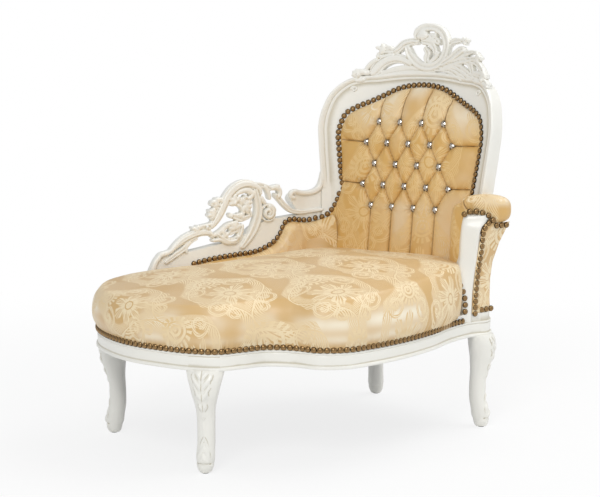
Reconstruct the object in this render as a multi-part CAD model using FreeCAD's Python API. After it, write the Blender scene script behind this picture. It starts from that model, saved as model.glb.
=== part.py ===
import FreeCAD, Part
import math
import os

# Chaise longue with a carved and lacquered frame, a tufted back, a low carved side and one short arm.
# Millimetres. The model is drawn about the middle of the four feet, with X along the seat from the foot
# end to the head end, Y from the open side to the carved side, and Z up.

V = FreeCAD.Vector

# Seat frame
FOOT_SPACING_X = 874.0
FOOT_SPACING_Y = 494.0
RAIL_BOTTOM = 258.0
SHOW_TOP = 299.0
RAIL_TOP = 322.0
RAIL_WIDTH = 45.0
REBATE = 3.0
BEAD_PROUD = 3.0
BEAD_HEIGHT = 8.0
BEARER_WIDTH = 30.0
BEARER_DEPTH = 26.0
BEARER_DROP = 20.0
BEARER_PLACES = (-150.0, 120.0)

# Legs
GLIDE_RADIUS = 9.0
GLIDE_HEIGHT = 2.5
LEG_HEAD_HALF = 40.0
BACK_LEDGE = 30.0

# Joinery
DOWEL_RADIUS = 4.0
DOWEL_LENGTH = 48.0
DOWEL_GAP = 22.0
BLOCK_THICKNESS = 26.0
BLOCK_REACH = 78.0
BLOCK_DROP = 6.0
SCREW_RADIUS = 2.2
SCREW_HEAD_RADIUS = 4.2
SCREW_LENGTH = 46.0
SCREW_HEAD_HEIGHT = 3.0
SCREW_INSET = 20.0
DOWEL_REACHES = (-8.0, -30.0)
DOWEL_LEVEL = (RAIL_BOTTOM + SHOW_TOP) / 2

# Seat
WEB_WIDTH = 50.0
WEB_THICKNESS = 2.0
WEB_PITCH_LONG = 92.0
WEB_PITCH_CROSS = 96.0
WEB_EDGE = 10.0
WEB_CENTRE = (-20.0, -30.0)
WEB_LONG_STRAPS = 7
WEB_CROSS_STRAPS = 10
HESSIAN = 1.5
COVER_THICKNESS = 11.0
DUST_COVER = 1.2
CLEAR = 0.3

# Back
BACK_X = 387.0
BACK_Y = 37.0
DATUM = 300.0
BACK_TURN = 70.0
LEAN = 8.0
BACK_RADIUS = 500.0
FRAME_THICKNESS = 42.0
RIM_WIDTH = 15.0
RIM_PROUD = 7.0
BOTTOM_RAIL_HEIGHT = 90.0
JOINT_HEIGHT = 545.0
BACK_BOARD = 6.0
BACK_FOAM = 26.0
BUTTON_PITCH = 72.0
BUTTON_ROW_PITCH = 60.0
BUTTON_TOP_ROW = 518.0
BUTTON_ROWS = (4, 5, 4, 5, 4)
TUFT_RADIUS = 22.0
TUFT_DEPTH = 11.0
PLEAT_RADIUS = 5.0
PLEAT_DEPTH = 4.0
BUTTON_RADIUS = 9.0
BUTTON_HEIGHT = 4.0
CRYSTAL_RADIUS = 7.2
CRYSTAL_HEIGHT = 5.0
CRYSTAL_RINGS = ((CRYSTAL_RADIUS, 0), (CRYSTAL_RADIUS, 1.2), (CRYSTAL_RADIUS * 0.55, CRYSTAL_HEIGHT))

# Side back
SIDE_FACE = 292.0
SIDE_THICKNESS = 34.0
SIDE_PAD = 26.0
SIDE_PAD_START = -288.0
SIDE_PAD_END = 262.0
CARVING_PROUD = 9.0
CARVING_THICKNESS = 26.0
VOLUTE_TAPER = 0.45

# Arm
ROLL_BOTTOM = 568.0
ARM_COVER = 8.0
ARM_RAIL = (70.0, 30.0, 28.0)
ARM_PAD_LEAN = 0.05

# Outside covers and nails
OUTSIDE_COVER = 7.0
NAIL_RADIUS = 8.0
NAIL_HEIGHT = 4.5
NAIL_PITCH = 16.6
NAIL_LINE = 307.0
NAIL_BED = 1.5
NAIL_INSET = 9.0
FREE_EDGE_REAR = -318.0
FREE_EDGE_FRONT = 352.0

# The outer line of the seat frame in plan, from the rear foot corner round the foot end and the open
# side to the head end and back along the carved side.
PLAN = [
    (-514, 183), (-545, 60), (-541, -60), (-508, -155), (-464, -235), (-417, -279), (-355, -286),
    (-290, -292), (-240, -333), (-195, -404), (-140, -430), (-60, -426), (30, -409), (177, -357),
    (300, -293), (380, -269), (440, -268), (474, -235), (486, -120), (472, 0), (450, 100), (420, 205),
    (350, 272), (220, 320), (0, 329), (-250, 326), (-400, 295), (-475, 245),
]


def flat(points):
    """Plan or elevation points as vectors."""
    return [V(p[0], p[1], 0) for p in points]


def circle_tangent(a, b, c):
    """Direction at b of the circle through a, b and c."""
    before = b - a
    after = c - b
    mix = before * (after.Length / before.Length) + after * (before.Length / after.Length)
    return mix.normalize()


def mirrored(tangent, chord):
    """The tangent at the other end of an arc that has this chord."""
    along = V(chord).normalize()
    return along * (2 * along.dot(tangent)) - tangent


def arc_middle(start, tangent, end):
    """Middle point of the arc that leaves start along tangent, or None where it is straight."""
    chord = end - start
    side = V(-tangent.y, tangent.x, 0)
    bulge = side.dot(chord)
    if abs(bulge) < 1e-5 * chord.Length:
        return None
    reach = chord.dot(chord) / (2 * bulge)
    centre = start + side * reach
    return centre + ((start + end) * 0.5 - centre).normalize() * abs(reach)


def arc_edge(start, middle, end, lift):
    """An arc through three plan points, or a line where it has no middle."""
    if middle is None:
        return Part.LineSegment(lift(start), lift(end)).toShape()
    return Part.Arc(lift(start), lift(middle), lift(end)).toShape()


def biarc(start, tangent_in, end, tangent_out, lift):
    """Two arcs that join smoothly and leave and arrive along the given directions."""
    span = end - start
    both = tangent_in + tangent_out
    spread = 2 * (1 - tangent_in.dot(tangent_out))
    along = span.dot(both)
    if spread < 1e-9:
        reach = span.dot(span) / (4 * span.dot(tangent_out))
    else:
        reach = (math.sqrt(along * along + spread * span.dot(span)) - along) / spread
    joint = (start + end + (tangent_in - tangent_out) * reach) * 0.5
    first = arc_edge(start, arc_middle(start, tangent_in, joint), joint, lift)
    second = arc_edge(joint, arc_middle(end, tangent_out * -1, joint), end, lift)
    return [first, second]


def smooth_line(points, lift, closed=False):
    """Smooth chain of arcs through the points."""
    count = len(points)
    if count == 2:
        return [Part.LineSegment(lift(points[0]), lift(points[1])).toShape()]
    tangents = [None] * count
    for i in range(count):
        if closed or 0 < i < count - 1:
            tangents[i] = circle_tangent(points[i - 1], points[i], points[(i + 1) % count])
    if not closed:
        tangents[0] = mirrored(tangents[1], points[1] - points[0])
        tangents[-1] = mirrored(tangents[-2], points[-1] - points[-2])
    edges = []
    for i in range(count if closed else count - 1):
        j = (i + 1) % count
        edges += biarc(points[i], tangents[i], points[j], tangents[j], lift)
    return edges


def level(z, slope=0.0, pivot=0.0):
    """Lifts plan points to a height that may rise along X."""
    return lambda p: V(p.x, p.y, z + slope * (p.x - pivot))


def upright(y):
    """Turns elevation points into the XZ plane at y."""
    return lambda p: V(p.x, y, p.y)


def face_of(edges):
    return Part.Face(Part.Wire(edges))


def runs_face(runs, lift):
    """Face inside smooth runs that meet at corners, or are joined there by straight lines."""
    edges = []
    for i, run in enumerate(runs):
        points = flat(run)
        edges += smooth_line(points, lift)
        following = flat(runs[(i + 1) % len(runs)][:1])[0]
        if (points[-1] - following).Length > 1e-6:
            edges.append(Part.LineSegment(lift(points[-1]), lift(following)).toShape())
    return face_of(edges)


def mirror_run(run):
    """The same run on the other side of the middle, in the order that closes an outline."""
    return [(-x, y) for x, y in reversed(run)]


def fused(shapes):
    return shapes[0].multiFuse(shapes[1:]) if len(shapes) > 1 else shapes[0]


def trimmed(shape, tools):
    """What is left of a shape after cutting each tool from it in turn, without loose slivers."""
    for tool in tools:
        shape = shape.cut(tool)
        if len(shape.Solids) > 1:
            shape = max(shape.Solids, key=lambda piece: piece.Volume)
    return shape


def solids(shapes):
    """Separate solids that share one node."""
    pieces = []
    for shape in shapes:
        pieces += shape.Solids
    return Part.makeCompound(pieces)


def ring_face(offset):
    """The seat frame's outer line, moved outwards by offset, as a face."""
    face = face_of(smooth_line(flat(PLAN), level(0), closed=True))
    return face.makeOffset2D(offset) if abs(offset) > 1e-9 else face


def plate(face, bottom, top):
    """A plan face made solid between two heights."""
    base = face.copy()
    base.translate(V(0, 0, bottom))
    return base.extrude(V(0, 0, top - bottom))


# The back's own frame: X to the sitter's left seen from the front, Y backwards, Z up its leaning face.
LEANING = FreeCAD.Placement(V(0, 0, 0), FreeCAD.Rotation(V(1, 0, 0), -LEAN))
TURNED = FreeCAD.Placement(V(BACK_X, BACK_Y, DATUM), FreeCAD.Rotation(V(0, 0, 1), -BACK_TURN))
BACK_FRAME = TURNED.multiply(LEANING).toMatrix()


def set_back(shape):
    """Takes a shape from the back's own frame to its place."""
    return shape.transformed(BACK_FRAME)


def back_shell(front, rear):
    """The curved slab from front millimetres before the back's face to rear millimetres behind it."""
    height = 1100.0
    foot = V(0, -BACK_RADIUS, -150)
    outer = Part.makeCylinder(BACK_RADIUS + rear, height, foot)
    return outer.cut(Part.makeCylinder(BACK_RADIUS - front, height, foot))


def curved(face, front, rear):
    """An outline drawn in the back's elevation, as a solid between two curved faces."""
    return face.extrude(V(0, 420, 0)).common(back_shell(front, rear))


def ribbon(points, lift):
    """Outline face of a carved strand: points are x, y and width along its middle."""
    middle = flat(points)
    count = len(middle)
    tangents = [None] * count
    for i in range(1, count - 1):
        tangents[i] = circle_tangent(middle[i - 1], middle[i], middle[i + 1])
    tangents[0] = mirrored(tangents[1], middle[1] - middle[0])
    tangents[-1] = mirrored(tangents[-2], middle[-1] - middle[-2])
    left = []
    right = []
    for centre, tangent, point in zip(middle, tangents, points):
        half = V(-tangent.y, tangent.x, 0) * (point[2] / 2)
        left.append(centre + half)
        right.append(centre - half)
    tip = middle[-1] + tangents[-1] * (points[-1][2] / 2)
    tail = middle[0] - tangents[0] * (points[0][2] / 2)
    edges = smooth_line(left, lift)
    edges.append(arc_edge(left[-1], tip, right[-1], lift))
    edges += smooth_line(right[::-1], lift)
    edges.append(arc_edge(right[0], tail, left[0], lift))
    return face_of(edges)


def spiral(x, y, start, turns, outer, inner, width):
    """Ribbon points of a volute that winds in from its outer radius."""
    steps = max(6, int(abs(turns) * 8))
    points = []
    for i in range(steps + 1):
        share = i / steps
        angle = math.radians(start) + 2 * math.pi * turns * share
        radius = outer + (inner - outer) * share
        tapered = width * (1 - VOLUTE_TAPER * share)
        points.append((x + radius * math.cos(angle), y + radius * math.sin(angle), tapered))
    return points


# Seat frame pieces


# Side along X and Y, outward direction in degrees, splay of the top, depth of the head and place of the
# corner block behind it
LEG_PLACES = {
    "leg_foot_front": (-1, -1, 225.0, 0.0, 52.0, 52.0),
    "leg_foot_rear": (-1, 1, 135.0, 0.0, 52.0, 52.0),
    "leg_head_front": (1, -1, 315.0, 0.0, 110.0, 110.0),
    "leg_head_rear": (1, 1, 52.0, 34.0, 100.0, 124.0),
}

# Height, inward reach, outward reach and half width of the cabriole leg
LEG_SECTIONS = [
    (8, -18, 17, 14), (22, -24, 23, 18), (36, -27, 22, 19), (50, -28, 19, 19), (75, -33, 12, 18.5),
    (105, -34, 11, 18.5), (135, -33, 12, 19), (160, -32, 18, 20.5), (182, -33, 26, 25),
    (200, -34, 32, 30),
    (220, -37, 35, 35), (240, -39, 34, 40), (262, -41, 25, 44),
]


def leg_place(name):
    """Ground point, outward direction and splay of a leg."""
    side_x, side_y, angle, splay = LEG_PLACES[name][:4]
    ground = V(side_x * FOOT_SPACING_X / 2, side_y * FOOT_SPACING_Y / 2, 0)
    outward = V(math.cos(math.radians(angle)), math.sin(math.radians(angle)), 0)
    return ground, outward, splay


def leg_section(ground, outward, splay, z, inner, outer, half):
    """Rounded four sided section with a ridge to the outside."""
    across = V(-outward.y, outward.x, 0)
    shift = -splay * z / RAIL_BOTTOM
    middle = ground + outward * shift
    belly = 0.36
    centre = (inner + outer) / 2
    corners = [(outer, 0), (centre, half), (inner, 0), (centre, -half)]
    places = [middle + outward * u + across * v + V(0, 0, z) for u, v in corners]
    heart = middle + outward * centre + V(0, 0, z)
    edges = []
    for a, b in zip(places, places[1:] + places[:1]):
        chord = (a + b) * 0.5
        edges.append(Part.Arc(a, chord + (chord - heart) * belly, b).toShape())
    return Part.Wire(edges)


def leg_head(name):
    """The block at the top of a leg that the rails meet, as an upright prism."""
    ground, outward, splay = leg_place(name)
    depth = LEG_PLACES[name][4]
    across = V(-outward.y, outward.x, 0)
    top = ground - outward * splay
    corners = [(-depth, -LEG_HEAD_HALF), (60, -LEG_HEAD_HALF), (60, LEG_HEAD_HALF), (-depth, LEG_HEAD_HALF)]
    points = [top + outward * u + across * v for u, v in corners]
    return Part.Face(Part.makePolygon(points + points[:1]))


def back_round(radius):
    """Upright cylinder about the axis of the back's curve."""
    return Part.makeCylinder(radius, 400, V(BACK_X, BACK_Y, 0) + SITTER * BACK_RADIUS)


def seat_well():
    """The open inside of the seat frame."""
    tall = plate(ring_face(-RAIL_WIDTH), RAIL_BOTTOM - 1, RAIL_TOP + 1)
    return tall.common(back_round(BACK_RADIUS - BACK_LEDGE))


def seat_ring():
    """The whole seat frame before it is divided: show face, bead, rebate and the broad head end."""
    body = plate(ring_face(0), RAIL_BOTTOM, SHOW_TOP)
    bead = plate(ring_face(BEAD_PROUD), RAIL_BOTTOM, RAIL_BOTTOM + BEAD_HEIGHT)
    upper = plate(ring_face(-REBATE), RAIL_BOTTOM, RAIL_TOP)
    return body.multiFuse([bead, upper]).cut(seat_well())


SITTER = V(-math.sin(math.radians(BACK_TURN)), -math.cos(math.radians(BACK_TURN)), 0)


def mitre_side(name):
    """Everything on the clockwise side of a leg's diagonal, where the rails behind it meet in a mitre."""
    ground = leg_place(name)[0]
    half = Part.makeBox(3000, 1500, 400, V(-1500, -1500, 100))
    half.rotate(V(0, 0, 0), V(0, 0, 1), LEG_PLACES[name][2])
    half.translate(ground)
    return half


def split_rails(ring, heads):
    """The four rails between the legs' heads."""
    prisms = [plate(head, RAIL_BOTTOM - 2, RAIL_TOP + 2) for head in heads.values()]
    pieces = []
    half = mitre_side("leg_head_rear")
    for piece in ring.cut(fused(prisms)).Solids:
        if piece.BoundBox.YMax > 300:
            pieces += piece.cut(half).Solids + piece.common(half).Solids
        else:
            pieces.append(piece)
    found = {}
    for piece in pieces:
        centre = piece.CenterOfMass
        if centre.x > 400:
            found["seat_rail_head"] = piece
        elif centre.x < -440:
            found["seat_rail_foot"] = piece
        elif centre.y < 0:
            found["seat_rail_front"] = piece
        else:
            found["seat_rail_rear"] = piece
    return found


def make_leg(name, ring, head):
    """Cabriole leg with its head between the rails."""
    ground, outward, splay = leg_place(name)
    wires = [leg_section(ground, outward, splay, GLIDE_HEIGHT, -15, 14, 11)]
    wires += [leg_section(ground, outward, splay, *row) for row in LEG_SECTIONS]
    shaft = Part.makeLoft(wires, True, False)
    block = ring.common(plate(head, RAIL_BOTTOM, RAIL_TOP + 2))
    return shaft.fuse(block)


def make_glides():
    pieces = []
    for name in LEG_PLACES:
        ground = leg_place(name)[0]
        pieces.append(Part.makeCylinder(GLIDE_RADIUS, GLIDE_HEIGHT, ground))
    return solids(pieces)


def joint_points(name):
    """Middle of each joint face between a leg's head and the rails, with the direction across it."""
    ground, outward, splay = leg_place(name)
    across = V(-outward.y, outward.x, 0)
    top = ground - outward * splay
    spots = []
    for side in (-1, 1):
        for reach in DOWEL_REACHES:
            spots.append((top + outward * reach + across * (side * LEG_HEAD_HALF), across * side))
    return spots


def make_dowels(ring):
    """Two dowels across each joint between a leg and a rail."""
    pins = []
    for name in LEG_PLACES:
        for spot, across in joint_points(name):
            if not ring.isInside(spot + V(0, 0, DOWEL_LEVEL), 0.5, True):
                continue
            for z in (DOWEL_LEVEL - DOWEL_GAP / 2, DOWEL_LEVEL + DOWEL_GAP / 2):
                start = spot - across * (DOWEL_LENGTH / 2) + V(0, 0, z)
                pins.append(Part.makeCylinder(DOWEL_RADIUS, DOWEL_LENGTH, start, across))
    return pins


def make_blocks(ring_hollow):
    """Corner blocks across the inside of each corner, and their screws."""
    blocks = {}
    screws = []
    for name in LEG_PLACES:
        ground, outward, splay = leg_place(name)
        across = V(-outward.y, outward.x, 0)
        start = ground - outward * (splay + LEG_PLACES[name][5])
        inner = start - outward * BLOCK_THICKNESS
        reach = across * BLOCK_REACH
        points = [inner - reach, start - reach, start + reach, inner + reach]
        bar = Part.Face(Part.makePolygon(points + points[:1]))
        bar = plate(bar, RAIL_BOTTOM + BLOCK_DROP, RAIL_TOP - 2 * BLOCK_DROP)
        blocks[name] = bar.common(ring_hollow)
        for z in (RAIL_BOTTOM + SCREW_INSET, RAIL_TOP - SCREW_INSET - BLOCK_DROP):
            base = inner + V(0, 0, z)
            shank = Part.makeCylinder(SCREW_RADIUS, SCREW_LENGTH, base, outward)
            head = Part.makeCone(SCREW_HEAD_RADIUS, SCREW_RADIUS, SCREW_HEAD_HEIGHT, base, outward)
            screws.append(shank.fuse(head))
    return blocks, screws


def seat_deck(bottom, top):
    """The part of the seat frame's top that is free for webbing and hessian, as a plate."""
    deck = plate(ring_face(-WEB_EDGE), bottom, top)
    deck = deck.common(back_round(BACK_RADIUS - CLEAR))
    rear = Part.makeBox(2400, 400, 100, V(-1200, SIDE_FACE - CLEAR, bottom - 10))
    arm = Part.makeBox(200, 120, 100, V(340, -345, bottom - 10))
    return deck.cut(rear).cut(arm)


def make_webbing():
    """Straps laid both ways on the rails, one way over the other."""
    low = RAIL_TOP
    lower = seat_deck(low, low + WEB_THICKNESS)
    upper = seat_deck(low + WEB_THICKNESS, low + 2 * WEB_THICKNESS)
    long_straps = []
    for i in range(WEB_LONG_STRAPS):
        y = WEB_CENTRE[1] + (i - WEB_LONG_STRAPS // 2) * WEB_PITCH_LONG
        strap = Part.makeBox(1300, WEB_WIDTH, WEB_THICKNESS, V(-650, y - WEB_WIDTH / 2, low))
        long_straps.append(strap.common(lower))
    cross_straps = []
    for i in range(WEB_CROSS_STRAPS):
        x = WEB_CENTRE[0] + (i - WEB_CROSS_STRAPS // 2) * WEB_PITCH_CROSS
        corner = V(x - WEB_WIDTH / 2, -500, low + WEB_THICKNESS)
        cross_straps.append(Part.makeBox(WEB_WIDTH, 1000, WEB_THICKNESS, corner).common(upper))
    return solids(long_straps), solids(cross_straps)


# Seat padding


# Seat cushion in plan: x, y and how far the edge is open to view, from 0 behind a pad to 1 at a free edge
CUSHION_PLAN = [(x, y, 1.0) for x, y in PLAN[26:] + PLAN[:15]]
CUSHION_PLAN += [(344, -266, 0.5), (366, -225, 0), (386, -160, 0), (398, -85, 0), (372, -10, 0)]
CUSHION_PLAN += [(328, 110, 0)]
CUSHION_PLAN += [(292, 210, 0), (236, 256, 0), (60, 265, 0), (-150, 265, 0), (-282, 268, 0), (-313, 305, 0.6)]
CUSHION_HEART = V(-60, -40, 0)

# Height, rise towards the head end, outward bulge at free and at covered edges, and how far an inner
# layer lies lower here
CUSHION_SIDES = [
    (300, 0.0, 0, -6, 0.0), (325, 0.003, 9, -5, 0.0), (350, 0.012, 13.5, -3, 0.0), (375, 0.024, 12.5, 0, 0.0),
    (400, 0.037, 6, 0, 0.5), (424, 0.05, -13, -3, 1.0),
]
CUSHION_PIVOT = -300.0
CROWN_RISE = 30.0
CROWN_TILT = 0.015
CROWN_STEPS = 5
CROWN_POWER = 2.6
CROWN_SPREAD = 0.86


def cushion_ring(inset, free, covered, share, lift):
    """One closed ring of arcs round the cushion."""
    base = flat(CUSHION_PLAN)
    ring = []
    for i, point in enumerate(base):
        tangent = circle_tangent(base[i - 1], point, base[(i + 1) % len(base)])
        open_edge = CUSHION_PLAN[i][2]
        bulge = free * open_edge + covered * (1 - open_edge) - inset
        spot = point + V(tangent.y, -tangent.x, 0) * bulge
        ring.append(CUSHION_HEART + (spot - CUSHION_HEART) * share)
    return Part.Wire(smooth_line(ring, lift, closed=True))


def cushion_form(inset):
    """Crowned cushion: bulging sides up to the shoulder, and a crown that swells over them."""
    sides = []
    for z, rise, free, covered, drop in CUSHION_SIDES:
        lift = level(z - inset * drop, rise, CUSHION_PIVOT)
        sides.append(cushion_ring(inset, free, covered, 1.0, lift))
    z, rise, free, covered, drop = CUSHION_SIDES[-1]
    crown = []
    for k in range(CROWN_STEPS + 1):
        share = 1 - CROWN_SPREAD * k / CROWN_STEPS
        height = z - inset + CROWN_RISE * (1 - share ** CROWN_POWER)
        lift = level(height, rise + CROWN_TILT * (1 - share * share), CUSHION_PIVOT)
        crown.append(cushion_ring(inset, free, covered, share, lift))
    return Part.makeLoft(sides, True, False).fuse(Part.makeLoft(crown, True, False))


# Back pieces


BACK_OUTER = [
    (255, -20), (262, 120), (266, 240), (275, 350), (287, 450), (291, 500), (284, 550), (268, 594),
    (232, 633), (140, 656), (60, 667), (0, 669),
]
BACK_OPENING = [
    (178, -20), (180, 200), (184, 320), (197, 400), (204, 480), (190, 522), (140, 556), (70, 586), (0, 594),
]
NAIL_PATH = [
    (215, 320), (222, 350), (230, 400), (236, 440), (240, 480), (236, 507), (224, 538), (200, 557),
    (160, 577), (120, 598), (80, 618), (40, 628), (0, 631),
]
OUTSIDE_LINE = [
    (228, 30), (236, 240), (246, 350), (258, 450), (262, 500), (252, 552), (226, 590), (140, 622),
    (60, 634), (0, 636),
]


def across_middle(points):
    """A run on the sitter's side carried over the middle to the other side."""
    return points + mirror_run(points)[1:]


def back_outline(points):
    """Face in the back's elevation from a half outline."""
    return runs_face([across_middle(points)], upright(-300))


def make_back_frame():
    """Stiles, top rail and bottom rail before they are parted, in the back's own frame."""
    outer = back_outline(BACK_OUTER)
    opening = back_outline(BACK_OPENING)
    rim = outer.cut(outer.makeOffset2D(-RIM_WIDTH))
    hoop = curved(outer.cut(opening), 0, FRAME_THICKNESS).fuse(curved(rim, RIM_PROUD, 0.5))
    width = 2 * BACK_OPENING[0][0]
    low = Part.makeBox(width, 900, BOTTOM_RAIL_HEIGHT + 20, V(-width / 2, -300, -20))
    bottom = low.common(back_shell(0, FRAME_THICKNESS)).cut(hoop)
    above = Part.makeBox(900, 900, 400, V(-450, -500, JOINT_HEIGHT))
    right = Part.makeBox(450, 900, 900, V(0, -500, -60))
    stiles = hoop.cut(above)
    top = hoop.common(above)
    return stiles.common(right), stiles.cut(right), top, bottom


def frame_middle(s):
    """Depth of the middle of the frame's thickness at a place across the back."""
    return math.sqrt((BACK_RADIUS + FRAME_THICKNESS / 2) ** 2 - s * s) - BACK_RADIUS


def back_dowels():
    """Dowels at the top joints, at the bottom rail's ends and down into the seat frame."""
    upper = []
    lower = []
    feet = []
    for side in (-1, 1):
        for s in (222, 250):
            spot = V(side * s, frame_middle(s), JOINT_HEIGHT - DOWEL_LENGTH / 2)
            upper.append(Part.makeCylinder(DOWEL_RADIUS, DOWEL_LENGTH, spot))
        end = BACK_OPENING[0][0]
        turn = math.asin(end / (BACK_RADIUS + FRAME_THICKNESS / 2))
        along = V(side * math.cos(turn), -math.sin(turn), 0)
        for h in (46, 46 + DOWEL_GAP):
            spot = V(side * end, frame_middle(end), h) - along * (DOWEL_LENGTH / 2)
            lower.append(Part.makeCylinder(DOWEL_RADIUS, DOWEL_LENGTH, spot, along))
    for s in (-226, -90, 0, 90, 226):
        spot = V(s, frame_middle(s), 24 - DOWEL_LENGTH / 2)
        feet.append(Part.makeCylinder(DOWEL_RADIUS, DOWEL_LENGTH, spot))
    return upper, lower, feet


# Height up the back, half width and depth of the tufted pad
PAD_ROWS = [
    (8, 196, 52), (60, 199, 60), (130, 201, 64), (220, 204, 66), (300, 206, 67), (350, 213, 67),
    (400, 221, 67), (440, 227, 66), (480, 231, 65), (510, 227, 62), (538, 214, 56), (558, 188, 49),
    (578, 148, 39),
    (598, 108, 28), (615, 74, 17),
]
PAD_EDGE = 26.0


def pad_depth(h):
    """Depth of the pad's crown at a height up the back."""
    for low, high in zip(PAD_ROWS, PAD_ROWS[1:]):
        if low[0] <= h <= high[0]:
            share = (h - low[0]) / (high[0] - low[0])
            return low[2] + (high[2] - low[2]) * share
    return PAD_ROWS[-1][2]


def pad_form(grow):
    """The back pad before tufting: level rings of one hollow arc, two edge arcs and one crown arc."""
    wires = []
    for h, half, depth in PAD_ROWS:
        w = half + grow
        reach = BACK_RADIUS - CLEAR + grow
        rear_y = math.sqrt(reach * reach - w * w) - BACK_RADIUS
        rear_mid = reach - BACK_RADIUS
        front_x = w - min(PAD_EDGE, 0.4 * w)
        front_y = min(rear_y - 6, 5 - depth) - grow
        side_mid = V((w + front_x) / 2 + 5, (rear_y + front_y) / 2 - 3, h)
        corners = [V(-w, rear_y, h), V(w, rear_y, h), V(front_x, front_y, h), V(-front_x, front_y, h)]
        edges = [
            Part.Arc(corners[0], V(0, rear_mid, h), corners[1]).toShape(),
            Part.Arc(corners[1], side_mid, corners[2]).toShape(),
            Part.Arc(corners[2], V(0, -depth - grow, h), corners[3]).toShape(),
            Part.Arc(corners[3], V(-side_mid.x, side_mid.y, h), corners[0]).toShape(),
        ]
        wires.append(Part.Wire(edges))
    return Part.makeLoft(wires, True, False)


def button_rows():
    """Places of the buttons across and up the back, row by row from the top."""
    rows = []
    for i, count in enumerate(BUTTON_ROWS):
        h = BUTTON_TOP_ROW - i * BUTTON_ROW_PITCH
        first = -BUTTON_PITCH * (count - 1) / 2
        rows.append([(first + j * BUTTON_PITCH, h) for j in range(count)])
    return rows


def pad_front(s, h):
    """Point on the pad's crown."""
    share = s / 205.0
    return V(s, -pad_depth(h) + 5 * share * share, h)


def pleat(a, b):
    """Round groove between two places on the pad."""
    start = pad_front(*a) + V(0, PLEAT_DEPTH - PLEAT_RADIUS, 0)
    run = pad_front(*b) + V(0, PLEAT_DEPTH - PLEAT_RADIUS, 0) - start
    return Part.makeCylinder(PLEAT_RADIUS, run.Length, start, run)


def make_tufts():
    """Dimples at the buttons and the pleats that join them and run out to the edges."""
    rows = button_rows()
    tools = []
    for row in rows:
        for s, h in row:
            centre = pad_front(s, h) + V(0, TUFT_DEPTH - TUFT_RADIUS, 0)
            tools.append(Part.makeSphere(TUFT_RADIUS, centre))
    for upper, lower in zip(rows, rows[1:]):
        for a in upper:
            for b in lower:
                if abs(a[0] - b[0]) < BUTTON_PITCH:
                    tools.append(pleat(a, b))
    for s, h in rows[0]:
        tools.append(pleat((s, h), (s * 1.04, 592 - abs(s) * 0.34)))
    for s, h in rows[-1]:
        tools.append(pleat((s, h), (s, h - 120)))
    for row in (rows[1], rows[3]):
        for end, side in ((row[0], -1), (row[-1], 1)):
            tools.append(pleat(end, (side * 198, end[1] + 4)))
    return tools


def make_buttons():
    """Round settings with a faceted crystal in each."""
    settings = []
    crystals = []
    for row in button_rows():
        for s, h in row:
            seat = pad_front(s, h) + V(0, TUFT_DEPTH, 0)
            settings.append(Part.makeCylinder(BUTTON_RADIUS, BUTTON_HEIGHT, seat, V(0, -1, 0)))
            rings = []
            for radius, rise in CRYSTAL_RINGS:
                corners = []
                for k in range(9):
                    angle = math.radians(45 * k)
                    lift = -BUTTON_HEIGHT - rise
                    corners.append(seat + V(radius * math.cos(angle), lift, radius * math.sin(angle)))
                rings.append(Part.makePolygon(corners))
            crystals.append(Part.makeLoft(rings, True, True))
    return solids(settings), solids(crystals)


# Strands of the crest carving: relief before the face, then x, y and width along the strand
CREST = [
    (5, [(-145, 655, 5), (-90, 665, 11), (-40, 672, 15), (0, 676, 18)]),
    (6, [(0, 676, 18), (50, 673, 16), (100, 662, 14), (140, 647, 8)]),
    (8, [(60, 674, 12), (120, 666, 20), (180, 652, 22), (235, 636, 16), (262, 618, 6)]),
    (9, [(-64, 752, 12), (-62, 733, 24), (-50, 706, 22), (-26, 686, 19), (4, 679, 17), (36, 685, 16),
         (58, 706, 15), (67, 735, 17), (62, 762, 21), (40, 785, 25), (12, 794, 24), (-16, 786, 21),
         (-29, 770, 20)]),
    (12, [(-27, 772, 18), (-14, 756, 20), (6, 748, 20)]),
    (13, [(0, 770, 14), (8, 748, 34), (13, 722, 38), (19, 700, 26), (24, 684, 12)]),
    (7, [(-18, 755, 12), (-55, 757, 14), (-90, 745, 16), (-112, 722, 14), (-130, 713, 16), (-158, 711, 6)]),
    (6, [(-106, 728, 12), (-126, 727, 9), (-140, 722, 4)]),
    (8, [(-56, 696, 12), (-95, 706, 16), (-130, 700, 18), (-158, 682, 22), (-176, 656, 26), (-172, 640, 14)]),
    (9, [(-160, 674, 16), (-192, 664, 14), (-212, 652, 9), (-208, 640, 5)]),
    (10, [(-168, 655, 18), (-200, 646, 18), (-226, 640, 8)]),
    (7, [(60, 708, 12), (92, 728, 18), (118, 736, 18), (136, 724, 10)]),
    (6, [(64, 706, 14), (110, 718, 16), (150, 716, 14), (182, 703, 6)]),
    (8, [(54, 692, 14), (100, 702, 16), (140, 697, 18), (162, 676, 20), (174, 652, 26), (190, 632, 14)]),
    (9, [(158, 684, 16), (190, 676, 11), (205, 664, 5)]),
    (10, [(170, 662, 18), (200, 650, 16), (226, 640, 8)]),
]
CREST_REAR = 20.0


def make_crest(frame_pieces):
    """Pierced crest: overlapping strands on the curve of the back, let on to the top rail."""
    strands = [curved(ribbon(points, upright(-300)), relief, CREST_REAR) for relief, points in CREST]
    return fused(strands).cut(fused(frame_pieces))


# Carved side back


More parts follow.
